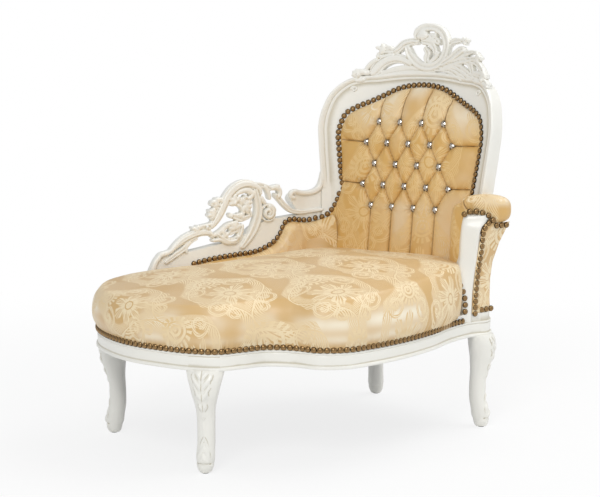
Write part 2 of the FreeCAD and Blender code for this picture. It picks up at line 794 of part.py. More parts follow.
SIDE_RUN_LOW = [
    (-300, RAIL_TOP), (-297, 385), (-283, 432), (-258, 458), (-215, 464), (-150, 471), (-90, 480), (-30, 490),
    (10, 505), (50, 530), (90, 541), (140, 545), (190, 549),
]
SIDE_RUN_HIGH = [
    (190, 549), (176, 575), (164, 598), (172, 609), (195, 606), (225, 606), (247, 613), (259, 632),
    (264, 662), (265, 700),
]
SIDE_RIGHT = [(269, 702), (269, RAIL_TOP)]
SIDE_CARVING = [
    (6, [(-286, 430, 10), (-274, 450, 14), (-252, 463, 16), (-232, 460, 14)]),
    (5, [(-258, 460, 12), (-222, 468, 12), (-190, 484, 14), (-160, 501, 15), (-110, 509, 13),
         (-66, 512, 10)]),
    (4, [(-226, 470, 10), (-204, 458, 11), (-192, 444, 5)]),
    (7, [(-158, 500, 12), (-136, 522, 20), (-122, 548, 22), (-104, 575, 22), (-84, 600, 20), (-55, 622, 18),
         (-25, 637, 18), (5, 643, 18), (32, 638, 16), (46, 622, 12)]),
    (6, [(-128, 532, 14), (-148, 524, 10), (-162, 512, 5)]),
    (8, [(-112, 560, 14), (-126, 556, 10), (-134, 548, 5)]),
    (8, [(-88, 592, 14), (-106, 600, 10), (-118, 596, 5)]),
    (9, [(22, 634, 16), (41, 610, 18), (47, 580, 22), (41, 545, 23), (23, 510, 22), (4, 480, 18),
         (-8, 464, 10)]),
    (6, [(-78, 566, 10), (-58, 546, 14), (-30, 538, 16), (2, 546, 18), (30, 560, 14)]),
    (9, [(-70, 602, 16), (-44, 586, 22), (-16, 584, 22), (6, 600, 18), (2, 628, 14)]),
    (7, [(-104, 508, 12), (-62, 500, 20), (-32, 514, 26), (-12, 536, 20)]),
    (5, [(-84, 488, 14), (-40, 484, 16), (-2, 474, 12)]),
    (6, [(-56, 612, 12), (-58, 590, 14), (-74, 566, 12), (-112, 560, 12)]),
    (8, [(80, 600, 8), (96, 617, 16), (116, 604, 15), (138, 579, 14), (165, 560, 12), (200, 548, 10)]),
    (6, [(36, 634, 12), (60, 630, 12), (86, 620, 12), (100, 612, 10)]),
    (6, [(64, 575, 14), (70, 597, 12), (84, 612, 10)]),
    (7, [(168, 614, 18), (200, 606, 11), (234, 609, 10), (257, 628, 9), (264, 655, 7)]),
]
VOLUTE = (90, 560)
VOLUTE_RADIUS = 25.0
VOLUTE_RELIEF = 8.0


def board(face, front, rear):
    """An elevation outline made solid between two upright planes."""
    return face.extrude(V(0, rear - front, 0))


def make_side(back_pieces):
    """Side board and the pierced carving on and above it."""
    outline = runs_face([SIDE_RUN_LOW, SIDE_RUN_HIGH, SIDE_RIGHT], upright(SIDE_FACE))
    frame = trimmed(board(outline, SIDE_FACE, SIDE_FACE + SIDE_THICKNESS), back_pieces)
    strands = []
    for relief, points in SIDE_CARVING:
        face = ribbon(points, upright(SIDE_FACE - relief))
        strands.append(board(face, SIDE_FACE - relief, SIDE_FACE + CARVING_THICKNESS - CARVING_PROUD))
    rear = SIDE_FACE + CARVING_THICKNESS - CARVING_PROUD
    centre = V(VOLUTE[0], SIDE_FACE - 3, VOLUTE[1])
    strands.append(Part.makeCylinder(VOLUTE_RADIUS, rear - centre.y, centre, V(0, 1, 0)))
    line = spiral(VOLUTE[0], VOLUTE[1], 100, -1.4, VOLUTE_RADIUS - 5, 4, 11)
    raised = SIDE_FACE - VOLUTE_RELIEF
    strands.append(board(ribbon(line, upright(raised)), raised, SIDE_FACE))
    return frame, trimmed(fused(strands), [frame] + back_pieces)


SIDE_NAIL_PATH = [
    (-160, 434), (-100, 443), (-50, 447), (0, 450), (40, 453), (80, 465), (110, 482), (130, 508), (142, 530),
    (160, 538), (190, 535), (220, 533), (240, 538),
]
SIDE_PAD_EDGE = [(x, z - 7) for x, z in SIDE_NAIL_PATH]


SIDE_COVER_LINE = [
    (-282, 352), (-274, 402), (-244, 436), (-150, 452), (-50, 460), (40, 488), (90, 512), (150, 520),
    (212, 520), (240, 536),
]


def make_side_cover():
    """Fabric over the outside of the side back."""
    rear = SIDE_FACE + SIDE_THICKNESS
    ends = [(240, RAIL_TOP + 2), (-282, RAIL_TOP + 2)]
    outline = runs_face([SIDE_COVER_LINE, [SIDE_COVER_LINE[-1], ends[0]], ends], upright(rear))
    return board(outline, rear, rear + OUTSIDE_COVER)


def make_side_pad():
    """Padded inner panel between its nail line and the seat."""
    low = RAIL_TOP + 2 * WEB_THICKNESS + HESSIAN + CLEAR
    top = [(SIDE_PAD_START, 372), (-220, 408)] + SIDE_PAD_EDGE
    end = (SIDE_PAD_END, SIDE_PAD_EDGE[-1][1])
    runs = [[(SIDE_PAD_START, low), top[0]], top, [top[-1], end], [end, (SIDE_PAD_END, low)]]
    outline = runs_face(runs, upright(SIDE_FACE - CLEAR - SIDE_PAD))
    return board(outline, SIDE_FACE - CLEAR - SIDE_PAD, SIDE_FACE - CLEAR)


# Arm


# Height, front left corner, front right corner and depth of the post
POST_SECTIONS = [
    (300, (351, -265), (381, -270), (2, 34)), (350, (355, -264), (383, -270), (4, 34)),
    (385, (351, -260), (385, -270), (6, 34)), (410, (343, -253), (387, -272), (9, 34)),
    (432, (348, -247), (389, -273), (12, 33)), (470, (358, -244), (393, -276), (16, 32)),
    (520, (361, -243), (396, -280), (19, 32)), (556, (364, -243), (401, -284), (21, 32)),
    (574, (367, -243), (417, -287), (23, 32)), (588, (370, -244), (424, -287), (24, 32)),
]


def make_post(ring):
    """Curved arm post with its swept foot and its broader head."""
    wires = []
    for z, left, right, depth in POST_SECTIONS:
        a = V(left[0], left[1], z)
        b = V(right[0], right[1], z)
        back = V(depth[0], depth[1], 0)
        wires.append(Part.makePolygon([a, b, b + back, a + back, a]))
    return trimmed(Part.makeLoft(wires, True, True), [ring])


# Height, then the arm's outer cover in plan at the post and at the back
ARM_COVER_ROWS = [
    (RAIL_TOP, (383, -272), (452, -264)), (350, (384, -272), (455, -256)), (410, (388, -273), (460, -251)),
    (455, (392, -276), (468, -250)), (510, (397, -281), (472, -266)), (556, (403, -286), (476, -288)),
    (ROLL_BOTTOM, (412, -289), (477, -294)),
]
ROLL_PLAN = [
    (392, -214), (404, -244), (428, -287), (446, -305), (466, -310), (486, -301), (496, -276), (490, -235),
    (462, -200), (424, -192),
]
ROLL_LEVELS = [(ROLL_BOTTOM, 0.90), (577, 0.98), (600, 1.0), (622, 0.94), (634, 0.80), (640, 0.55)]
ROLL_HEART = V(446, -250, 0)
ARM_PAD_PLAN = [
    (365, -238), (359, -212), (366, -176), (390, -150), (430, -146), (462, -170), (450, -205), (410, -226),
]
ARM_PAD_LEVELS = [
    (RAIL_TOP + 6, 0.96), (360, 1.0), (450, 1.0), (540, 0.99), (575, 0.97), (596, 0.86), (608, 0.62),
]
ARM_PAD_HEART = V(402, -196, 0)


def stacked_form(plan, levels, heart, lean):
    """Rounded form lofted through level rings that shrink about a heart and lean along X."""
    wires = []
    for z, share in levels:
        shift = V(lean * (z - levels[0][0]), 0, 0)
        ring = [heart + (point - heart) * share + shift for point in flat(plan)]
        wires.append(Part.Wire(smooth_line(ring, level(z), closed=True)))
    return Part.makeLoft(wires, True, False)


def make_arm_cover():
    """Outer fabric panel from the post to the back, flaring to the roll."""
    wires = []
    for z, front, rear in ARM_COVER_ROWS:
        a = V(front[0], front[1], z)
        b = V(rear[0], rear[1], z)
        side = V(a.y - b.y, b.x - a.x, 0).normalize() * ARM_COVER
        wires.append(Part.makePolygon([a, b, b + side, a + side, a]))
    return Part.makeLoft(wires, True, True)


# Nails


POST_NAILS = [(360, -266.6, RAIL_TOP + NAIL_RADIUS), (361, -266, 346), (359, -263.5, 374), (351, -257.5, 400)]
POST_NAILS += [(344, -251.5, 416)]
POST_FACING = V(-0.2, -0.98, 0)
ARM_FACING = V(-0.1, -1, 0)


def nail_head(spot, outward):
    """Low dome on its seat."""
    ball = (NAIL_RADIUS ** 2 + NAIL_HEIGHT ** 2) / (2 * NAIL_HEIGHT)
    cap = math.degrees(math.asin((ball - NAIL_HEIGHT) / ball))
    dome = Part.makeSphere(ball, V(0, 0, NAIL_HEIGHT - ball), V(0, 0, 1), cap, 90, 360)
    turn = FreeCAD.Rotation(V(0, 0, 1), outward)
    return dome.transformed(FreeCAD.Placement(spot, turn).toMatrix())


def nails_on(edges, outward):
    """Row of nails at an even pitch along a line."""
    line = Part.Wire(edges)
    count = max(2, round(line.Length / NAIL_PITCH) + 1)
    return [nail_head(spot, outward(spot)) for spot in line.discretize(Number=count)]


def towards_axis(spot):
    """Outward direction on the hollow face of the back."""
    return V(-spot.x, -BACK_RADIUS - spot.y, 0).normalize()


def on_cylinder(radius):
    """Lifts elevation points of the back on to a cylinder about its axis."""
    return lambda p: V(p.x, math.sqrt(radius * radius - p.x * p.x) - BACK_RADIUS, p.y)


def below(z):
    """Everything under a height."""
    return Part.makeBox(2400, 2400, 1000, V(-1200, -1200, z - 1000))


def row_on(spots, outward):
    """Nails at an even pitch along a smooth line through places in space."""
    line = Part.BSplineCurve()
    line.interpolate([V(*spot) for spot in spots])
    count = max(2, round(line.length() / NAIL_PITCH) + 1)
    return [nail_head(spot, outward) for spot in line.discretize(Number=count)]


def seat_nails():
    """Nails along the free edge of the seat cover, just above the show wood."""
    outer = ring_face(0).OuterWire
    spots = outer.discretize(Number=round(outer.Length / NAIL_PITCH) + 1)[:-1]
    heads = []
    for i, spot in enumerate(spots):
        free = spot.x < FREE_EDGE_REAR or (spot.y < 0 and spot.x < FREE_EDGE_FRONT)
        if not free:
            continue
        along = spots[(i + 1) % len(spots)] - spots[i - 1]
        outward = V(along.y, -along.x, 0).normalize()
        if outward.dot(spot) < 0:
            outward = outward * -1
        heads.append(nail_head(spot + V(0, 0, NAIL_LINE), outward))
    return heads + row_on(POST_NAILS, POST_FACING)


def back_nails():
    """Nails round the pad on the hollow face, and round the outside cover."""
    front = smooth_line(flat(across_middle(NAIL_PATH)), on_cylinder(BACK_RADIUS - NAIL_BED))
    foot = RAIL_TOP - DATUM + 2 * NAIL_RADIUS
    inset = [(x - NAIL_INSET if x else 0, max(y - NAIL_INSET, foot)) for x, y in OUTSIDE_LINE]
    cover = BACK_RADIUS + FRAME_THICKNESS + OUTSIDE_COVER
    rear = smooth_line(flat(across_middle(inset)), on_cylinder(cover))
    inner = [set_back(head) for head in nails_on(front, towards_axis)]
    outer = [set_back(head) for head in nails_on(rear, lambda spot: towards_axis(spot) * -1)]
    return inner, outer


def side_nails():
    """Nails along the edge of the inner side panel."""
    heads = [(x, SIDE_FACE - NAIL_BED, z) for x, z in SIDE_NAIL_PATH]
    return row_on(heads, V(0, -1, 0))


def arm_nails():
    """Nails down the post, along the foot and under the roll, on the arm's outer cover."""
    edge = [(front[0] + NAIL_RADIUS, front[1] + 1, z) for z, front, rear in ARM_COVER_ROWS]
    heads = row_on(edge, ARM_FACING)
    for z, front, rear, lift in (ARM_COVER_ROWS[0] + (NAIL_RADIUS,), ARM_COVER_ROWS[-1] + (-NAIL_RADIUS,)):
        along = V(rear[0] - front[0], rear[1] - front[1], 0).normalize() * (2 * NAIL_PITCH)
        start = (front[0] + along.x, front[1] + along.y, z + lift)
        heads += row_on([start, (rear[0], rear[1], z + lift)], ARM_FACING)
    return heads


def build_seat_frame(nodes, feet):
    """Rails, legs and the joinery that holds them."""
    ring = seat_ring()
    heads = {name: leg_head(name) for name in LEG_PLACES}
    well = seat_well()
    dowels = make_dowels(ring)
    blocks, screws = make_blocks(well)
    holes = fused(dowels + screws + feet)
    for name, rail in split_rails(ring, heads).items():
        nodes[name] = rail.cut(holes)
    for name in LEG_PLACES:
        nodes[name] = make_leg(name, ring, heads[name]).cut(holes)
    nodes["foot_glides"] = make_glides()
    nodes["corner_blocks"] = solids([block.cut(fused(screws)) for block in blocks.values()])
    nodes["corner_screws"] = solids(screws)
    nodes["rail_dowels"] = solids(dowels)
    bars = []
    for x in BEARER_PLACES:
        corner = V(x - BEARER_WIDTH / 2, -500, RAIL_TOP - BEARER_DEPTH - BEARER_DROP)
        bars.append(Part.makeBox(BEARER_WIDTH, 1000, BEARER_DEPTH, corner).common(well))
    nodes["seat_bearers"] = solids(bars)
    return ring


def build_back(nodes, upper, lower, feet):
    """Frame, crest, board, foam, tufted pad, buttons and outside cover of the back."""
    stile_right, stile_left, top_rail, bottom_rail = make_back_frame()
    frame_pieces = [stile_right, stile_left, top_rail]
    pins = fused(upper + lower)
    foot_pins = fused(feet)
    ground = below(RAIL_TOP)
    wood = []
    for name, piece in (("back_stile_right", stile_right), ("back_stile_left", stile_left),
                        ("back_top_rail", top_rail), ("back_bottom_rail", bottom_rail)):
        nodes[name] = set_back(piece.cut(pins)).cut(ground).cut(foot_pins)
        wood.append(nodes[name])
    nodes["crest_carving"] = set_back(make_crest(frame_pieces))
    nodes["back_dowels"] = solids([set_back(pin) for pin in upper + lower] + feet)
    opening = back_outline(BACK_OPENING)
    slab = trimmed(curved(opening, 0, FRAME_THICKNESS), [bottom_rail])
    nodes["back_board"] = set_back(slab.common(back_shell(-BACK_FOAM, BACK_FOAM + BACK_BOARD)))
    nodes["back_foam"] = set_back(slab.common(back_shell(0, BACK_FOAM)))
    tufted = pad_form(0).cut(make_tufts())
    nodes["back_pad"] = set_back(tufted).cut(below(deck_top() + CLEAR))
    settings, crystals = make_buttons()
    nodes["button_settings"] = set_back(settings)
    nodes["button_crystals"] = set_back(crystals)
    outside = curved(back_outline(OUTSIDE_LINE), -FRAME_THICKNESS, FRAME_THICKNESS + OUTSIDE_COVER)
    nodes["back_outside_cover"] = set_back(outside).cut(ground)
    return wood


def build_arm(nodes, ring, stile, envelope):
    """Post, hidden rail, outer cover, roll and inner pad of the arm."""
    post = make_post(ring)
    rail = Part.makeBox(ARM_RAIL[0], ARM_RAIL[1], ARM_RAIL[2], V(395, -262, ROLL_BOTTOM - ARM_RAIL[2] - 4))
    rail = trimmed(rail, [post, stile])
    roll = trimmed(stacked_form(ROLL_PLAN, ROLL_LEVELS, ROLL_HEART, 0.0), [post, stile])
    pad = stacked_form(ARM_PAD_PLAN, ARM_PAD_LEVELS, ARM_PAD_HEART, ARM_PAD_LEAN)
    nodes["arm_post"] = post
    nodes["arm_rail"] = rail
    nodes["arm_outer_cover"] = trimmed(make_arm_cover(), [post, rail, stile])
    nodes["arm_roll"] = roll
    nodes["arm_inner_pad"] = trimmed(pad, [post, rail, stile, envelope, roll, nodes["arm_outer_cover"]])


def side_pad_room():
    """The side pad's place with its clearance, that the cushion is cut back to."""
    corner = V(SIDE_PAD_START - CLEAR, SIDE_FACE - SIDE_PAD - 2 * CLEAR, RAIL_TOP)
    return Part.makeBox(400 - SIDE_PAD_START, 200, 300, corner)


def build_padding(nodes, envelope):
    """Webbing, hessian, foam and covers of the seat."""
    straps_long, straps_cross = make_webbing()
    nodes["seat_webbing_long"] = straps_long
    nodes["seat_webbing_cross"] = straps_cross
    nodes["seat_hessian"] = seat_deck(RAIL_TOP + 2 * WEB_THICKNESS, deck_top())
    around = [envelope, nodes["arm_post"], nodes["arm_inner_pad"], side_pad_room()]
    nodes["seat_foam"] = trimmed(cushion_form(COVER_THICKNESS), [below(deck_top())] + around)
    core = cushion_form(COVER_THICKNESS - CLEAR).cut(below(deck_top()))
    base = plate(ring_face(-REBATE), RAIL_BOTTOM, deck_top())
    nodes["seat_cover"] = trimmed(cushion_form(0), [core, base] + around)
    dust = plate(ring_face(-WEB_EDGE), RAIL_BOTTOM - DUST_COVER, RAIL_BOTTOM)
    nodes["dust_cover"] = trimmed(dust, [nodes[name] for name in LEG_PLACES])


def deck_top():
    """Height of the hessian's upper face, on which the padding stands."""
    return RAIL_TOP + 2 * WEB_THICKNESS + HESSIAN


def build():
    nodes = {}
    upper, lower, feet = back_dowels()
    feet = [set_back(pin) for pin in feet]
    ring = build_seat_frame(nodes, feet)
    stile_right, stile_left, top_rail, bottom_rail = build_back(nodes, upper, lower, feet)
    envelope = set_back(pad_form(CLEAR))
    nodes["side_frame"], nodes["side_carving"] = make_side([stile_left])
    nodes["side_pad"] = trimmed(make_side_pad(), [envelope, stile_left])
    nodes["side_outside_cover"] = make_side_cover()
    build_arm(nodes, ring, stile_right, envelope)
    build_padding(nodes, envelope)
    front, rear = back_nails()
    nodes["seat_nails"] = solids(seat_nails())
    nodes["back_nails"] = solids(front)
    nodes["back_rear_nails"] = solids(rear)
    nodes["side_nails"] = solids(side_nails())
    nodes["arm_nails"] = solids(arm_nails())
    return nodes


def seat_on_origin(nodes):
    """Moves everything so that the origin lies under the middle of the whole, on the floor."""
    box = FreeCAD.BoundBox()
    for shape in nodes.values():
        box.add(shape.optimalBoundingBox(False))
    shift = V(-(box.XMin + box.XMax) / 2, -(box.YMin + box.YMax) / 2, -box.ZMin)
    for name, shape in nodes.items():
        shape.translate(shift)
        shape.exportStep("parts/" + name + ".step")


os.makedirs("parts", exist_ok=True)
seat_on_origin(build())
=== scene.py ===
import math

import bmesh
import bpy
import numpy as np
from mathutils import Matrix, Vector


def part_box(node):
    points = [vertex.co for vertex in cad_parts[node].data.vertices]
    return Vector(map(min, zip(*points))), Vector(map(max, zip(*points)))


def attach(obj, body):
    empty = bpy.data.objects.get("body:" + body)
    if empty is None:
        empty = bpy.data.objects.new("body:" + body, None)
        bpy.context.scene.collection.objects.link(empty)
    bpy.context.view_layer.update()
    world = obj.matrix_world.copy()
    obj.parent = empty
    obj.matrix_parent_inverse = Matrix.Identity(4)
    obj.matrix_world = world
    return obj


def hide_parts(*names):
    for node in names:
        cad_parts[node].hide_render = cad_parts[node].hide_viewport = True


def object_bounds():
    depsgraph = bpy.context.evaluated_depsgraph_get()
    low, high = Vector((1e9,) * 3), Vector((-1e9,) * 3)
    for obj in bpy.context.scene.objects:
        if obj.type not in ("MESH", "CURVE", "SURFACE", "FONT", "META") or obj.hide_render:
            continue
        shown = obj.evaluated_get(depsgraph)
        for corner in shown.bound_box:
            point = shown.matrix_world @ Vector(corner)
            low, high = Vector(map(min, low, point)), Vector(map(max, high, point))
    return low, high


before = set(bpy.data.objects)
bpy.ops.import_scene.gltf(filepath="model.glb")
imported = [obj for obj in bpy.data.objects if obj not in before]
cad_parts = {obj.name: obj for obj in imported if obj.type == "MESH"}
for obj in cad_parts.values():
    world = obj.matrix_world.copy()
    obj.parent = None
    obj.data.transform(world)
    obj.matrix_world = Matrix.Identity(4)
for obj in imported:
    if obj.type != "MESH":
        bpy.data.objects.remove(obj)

bl_info = {
    "name": "Carved Chaise Longue",
    "version": (1, 0, 0),
    "blender": (4, 5, 0),
    "location": "3D View > Sidebar > Chaise",
    "description": "Dresses the frame of a carved and tufted chaise longue",
    "category": "Add Mesh",
}

CAD_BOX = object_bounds()
MM = 0.001
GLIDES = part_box("foot_glides")
MIDDLE = np.array([(GLIDES[0].x + GLIDES[1].x) / 2, (GLIDES[0].y + GLIDES[1].y) / 2, 0.0])

# All sizes below are in millimetres, about the middle of the four feet: X towards the head end, Y towards
# the carved side, Z up. The back has its own frame: across to the viewer's right, behind its face, up it.

# Seat frame: its outer line in plan, and the outward offset and height of its moulding
RAIL_BOTTOM = 258.0
RAIL_WIDTH = 45.0
SEAT_PLAN = [
    (-514, 183), (-545, 60), (-541, -60), (-508, -155), (-464, -235), (-417, -279), (-355, -286),
    (-290, -292), (-240, -333), (-195, -404), (-140, -430), (-60, -426), (30, -409), (177, -357),
    (300, -293), (380, -269), (440, -268), (474, -235), (486, -120), (472, 0), (450, 100), (420, 205),
    (350, 272), (220, 320), (0, 329), (-250, 326), (-400, 295), (-475, 245),
]
RAIL_PROFILE = [
    (-45, 258), (-6, 258), (0.5, 258), (2.6, 258.8), (3.6, 260.4), (3.9, 262.5), (3.4, 264.8), (2.0, 266.3),
    (0.4, 267.0), (-0.6, 268.2), (-0.5, 272), (0.0, 278), (0.4, 285), (0.5, 290.5), (-0.1, 292.2),
    (-1.0, 293.0), (-0.9, 294.2), (0.2, 294.9), (1.2, 296.2), (1.3, 297.8), (0.4, 299.2), (-1.2, 300),
    (-3, 300.6), (-3, 322), (-45, 322),
]
DOWEL_HEIGHTS = (276.0, 304.0)
DOWEL_RADIUS = 4.0
DOWEL_LENGTH = 34.0
DOWEL_BEVEL = 0.8

# Legs: sides of the ground point, outward direction and splay of each, then height, inward reach, outward
# reach and half width of their section
LEGS = {
    "leg_foot_front": (-1, -1, 225.0, 0.0),
    "leg_foot_rear": (-1, 1, 135.0, 0.0),
    "leg_head_front": (1, -1, 315.0, 0.0),
    "leg_head_rear": (1, 1, 52.0, 34.0),
}
LEG_HEAD_HALF = 40.0
FOOT_SPACING = (874.0, 494.0)
LEG_SECTIONS = [
    (2.5, -15, 14, 13), (5, -17, 16, 15.5), (11, -20, 19.5, 18.5), (18, -22, 21.5, 21), (23, -23.5, 22, 22),
    (26, -24, 20.5, 22), (34, -27, 22.5, 23), (42, -28, 22, 23.5), (52, -29, 18.5, 23), (75, -33, 12, 22.5),
    (105, -34, 11, 22.5), (135, -33, 12, 23), (160, -32, 18, 24.5), (182, -33, 26, 29), (200, -34, 32, 34),
    (220, -37, 35, 39), (240, -39, 34, 44.5), (258, -41, 27, 48), (262, -41, 25, 48),
]
GLIDE_RADIUS = 9.0
GLIDE_HEIGHT = 2.5
GLIDE_BEVEL = 0.6

# Carving on the legs: heights and half widths of the leaf and of the toe, and the pitch of their ridges
LEAF_HALF = ((136, 158, 185, 215, 240, 256, 262), (0, 7, 13.5, 19.5, 25, 24, 18))
LEAF_PITCH = 27.0
TOE_HALF = ((26, 38, 60, 84, 98), (18, 18, 14, 7, 0))
TOE_PITCH = 22.0

# Seat cushion: its edge in plan with a 1 where it hangs free and a 0 where it is covered, then height, rise
# towards the head end and bulge at free and at covered edges of its side
CUSHION_FREE = [(x, y, 1.0) for x, y in SEAT_PLAN[26:] + SEAT_PLAN[:14]] + [(300, -293, 0.8)]
CUSHION_COVERED = [
    (343, -268, 0.35), (365, -227, 0), (386, -160, 0), (398, -85, 0), (372, -10, 0), (328, 110, 0),
    (292, 210, 0), (236, 256, 0), (60, 265, 0), (-150, 265, 0), (-282, 268, 0), (-313, 305, 0.6),
]
CUSHION_SIDE = [
    (299.5, 0.0, -0.8, -6), (303, 0.0, 0.1, -6), (308, 0.0, 0.3, -6), (313, 0.001, 0.9, -5.5),
    (317, 0.002, 2.4, -5.5), (322, 0.003, 5.2, -5), (330, 0.005, 9.4, -4.5), (340, 0.008, 12.4, -4),
    (352, 0.013, 13.9, -3), (363, 0.018, 13.5, -1.5), (375, 0.024, 12.2, 0), (388, 0.031, 9.5, 0),
    (400, 0.037, 5.0, 0), (412, 0.044, -3.0, -1), (424, 0.05, -13, -3),
]
CUSHION_HEART = np.array([-60.0, -40.0])
CUSHION_PIVOT = -300.0
CUSHION_DART = (-402, -281)
CUSHION_SPLIT = 0.42
CROWN_RISE = 30.0

# Back: its place, turn and lean, the radius of its hollow face, and half of its edges from the foot up
BACK_SPOT = (387.0, 37.0, 300.0)
BACK_TURN = 70.0
LEAN = 8.0
BACK_RADIUS = 500.0
FRAME_THICKNESS = 42.0
BACK_OUTER = [
    (255, -20), (262, 120), (266, 240), (275, 350), (287, 450), (291, 500), (284, 550), (268, 594),
    (232, 633), (140, 656), (60, 667), (0, 669),
]
BACK_INNER = [
    (178, -20), (179, 120), (181, 240), (187, 350), (200, 445), (204, 488), (200, 512), (188, 527),
    (165, 544), (110, 570), (50, 590), (0, 594),
]
JOINT_HEIGHT = 545.0
# Distance in from the outer edge and height proud of the face across the back's frame
FRAME_PROFILE = [
    (0, -42), (0, -8), (0.3, -1), (1.2, 3.2), (3.0, 6.0), (5.6, 7.2), (8.6, 7.0), (11.2, 5.2), (12.8, 2.6),
    (14.2, 1.2), (16.0, 1.6), (17.6, 2.6), (19.6, 2.8), (21.2, 1.9), (22.4, 0.4), (25, -0.4), (32, -0.6),
    (44, -0.2), (56, 0.0),
]

# Back pad: its edge on the viewer's right and left, height and depth of its crown, its grid, how far it
# passes its seam, radii of its edge and of its puffs, half width of a pleat, and its buttons
PAD_LINE = [
    (198, 8), (202, 100), (205, 200), (209, 300), (214, 350), (222, 400), (228, 440), (232, 480),
    (228, 506), (216, 532), (193, 550), (155, 569), (116, 589), (78, 609), (39, 619), (0, 622),
]
PAD_LINE_SIDE = [
    (-243, 8), (-245, 100), (-247, 190), (-245, 228), (-239, 252), (-230, 272), (-222, 294), (-218, 320),
    (-219, 350), (-223, 400), (-228, 440), (-232, 480), (-228, 506), (-216, 532), (-193, 550), (-155, 569),
    (-116, 589), (-78, 609), (-39, 619),
]
PAD_CROWN = [
    (0, 52), (60, 60), (130, 64), (220, 66), (300, 67), (400, 67), (440, 66), (480, 65), (510, 62),
    (538, 56), (558, 50), (578, 42), (598, 32), (625, 20),
]
PAD_FOOT = 8.0
PAD_HEIGHT = 620.0
PAD_SIDES = (-256.0, 240.0)
PAD_CELL = 1.9
PAD_SEAM = 2.6
PAD_ROLL = 36.0
PUFF_REACH = 31.0
PLEAT_HALF = 1.5
BUTTON_PITCH = 72.0
BUTTON_ROW_PITCH = 60.0
BUTTON_TOP_ROW = 518.0
BUTTON_ROWS = (4, 5, 4, 5, 4)

# Arm: height, front left corner, front right corner and depth of its post, then its roll, its inner pad and
# height and plan of its outer cover at the post and at the back
POST_SECTIONS = [
    (300, (351, -265), (381, -270), (2, 34)), (350, (355, -264), (383, -270), (4, 34)),
    (385, (351, -260), (385, -270), (6, 34)), (410, (343, -253), (387, -272), (9, 34)),
    (432, (348, -247), (389, -273), (12, 33)), (470, (358, -244), (393, -276), (16, 32)),
    (520, (361, -243), (396, -280), (19, 32)), (556, (364, -243), (401, -284), (21, 32)),
    (574, (367, -243), (417, -287), (23, 32)), (588, (370, -244), (424, -287), (24, 32)),
]
POST_CAP = 0.04
ROLL_PLAN = [
    (388, -206), (384, -226), (398, -246), (428, -285), (446, -303), (466, -309), (486, -301), (496, -276),
    (491, -235), (466, -198), (426, -188),
]
ROLL_FLOOR = 563.0
ROLL_TOP = 641.0
ROLL_FOLD_ROOT = (-248, 588)
ROLL_FOLDS = (((-212, 626), 1.0), ((-220, 636), 0.55), ((-232, 642), 0.4), ((-246, 646), 0.3))
ROLL_CREASE_TIP = (-213, 624)
ARM_PAD_PLAN = [
    (365, -238), (359, -212), (366, -176), (390, -150), (430, -146), (462, -170), (450, -205), (410, -226),
]
ARM_PAD_FLOOR = 326.0
ARM_PAD_TOP = 612.0
ARM_LEAN = 0.05
ARM_COVER_ROWS = [
    (322, (383, -272), (452, -264)), (350, (384, -272), (455, -256)), (410, (388, -273), (460, -251)),
    (455, (392, -276), (468, -250)), (510, (397, -281), (478, -266)), (556, (403, -286), (489, -286)),
    (568, (412, -289), (492, -292)),
]

# Outside panels and the side's pad: width and height over which the arm's and the side's panels puff up,
# half the back's panel with its middle and foot, then tops and feet of the side's panel and of its pad
ARM_COVER_SIZE = (70, 246)
SIDE_COVER_SIZE = (520, 150)
OUTSIDE_HEART = (0.0, 300.0)
OUTSIDE_FOOT = (228, 22.5)
SIDE_COVER_FOOT = 324
SIDE_PAD_FOOT = 326
SIDE_PAD_DEPTH = 26.0
OUTSIDE_LINE = [
    (228, 30), (236, 240), (246, 350), (258, 450), (262, 500), (252, 552), (226, 590), (140, 622),
    (60, 634), (0, 636),
]
SIDE_COVER_LINE = [
    (-282, 352), (-274, 402), (-244, 436), (-150, 452), (-50, 460), (40, 488), (90, 512), (150, 520),
    (212, 520), (240, 536),
]
SIDE_PAD_TOP = [
    (-288, 372), (-220, 408), (-160, 428), (-100, 437), (-50, 441), (0, 444), (40, 447), (80, 459),
    (110, 476), (129, 502), (142, 523), (160, 531), (190, 528), (220, 526), (240, 530), (258, 537),
    (276, 548),
]

# Nails: pitch, radius and height of the head's rings and how dark the painted shade on each is, then nails
# down the viewer's left of the back's face and on to the side, and nails round the arm post's head
NAIL_PITCH = 16.6
NAIL_RINGS = ((0.0, 6.0), (2.7, 5.5), (5.1, 4.3), (6.9, 2.6), (7.9, 1.2), (8.15, -0.6))
NAIL_PAINTED_SHADES = (0.6, 0.30, 0.0, 0.55, 1.0, 1.0)
NAIL_SIDES = 12
SIDE_TURN_NAILS = [
    (-225, 304), (-228, 288), (-233, 272.5), (-240, 257.5), (-249, 244),
]
LAST_TURN_NAIL = (257.0, 270.5, 541.0)
HEAD_NAILS = [
    (370, -246, 591), (378, -247, 596), (391, -252, 599), (403, -262, 598), (415, -275, 593.5),
    (425, -287, 586), (431, -293, 576),
]

# Crystals: radius, depth of the girdle, width and rise of the two rows of facets, painted reflection of the
# facets, ring
CRYSTAL_RADIUS = 9.0
CRYSTAL_GIRDLE = 1.2
CRYSTAL_FACETS = ((2.4, 2.1), (1.9, 1.0))
PAINTED_FACET_LIGHTS = (0.90, 0.02, 0.42, 0.08, 1.0, 0.0, 0.55, 0.16)
PAINTED_TABLE_LIGHT = 0.55
RING_RADII = (9.4, 1.5)

# Carvings: width from which a strand is fluted, and size of the voxels that join the strands
FLUTED_WIDTH = 14
CARVING_VOXEL = 1.6

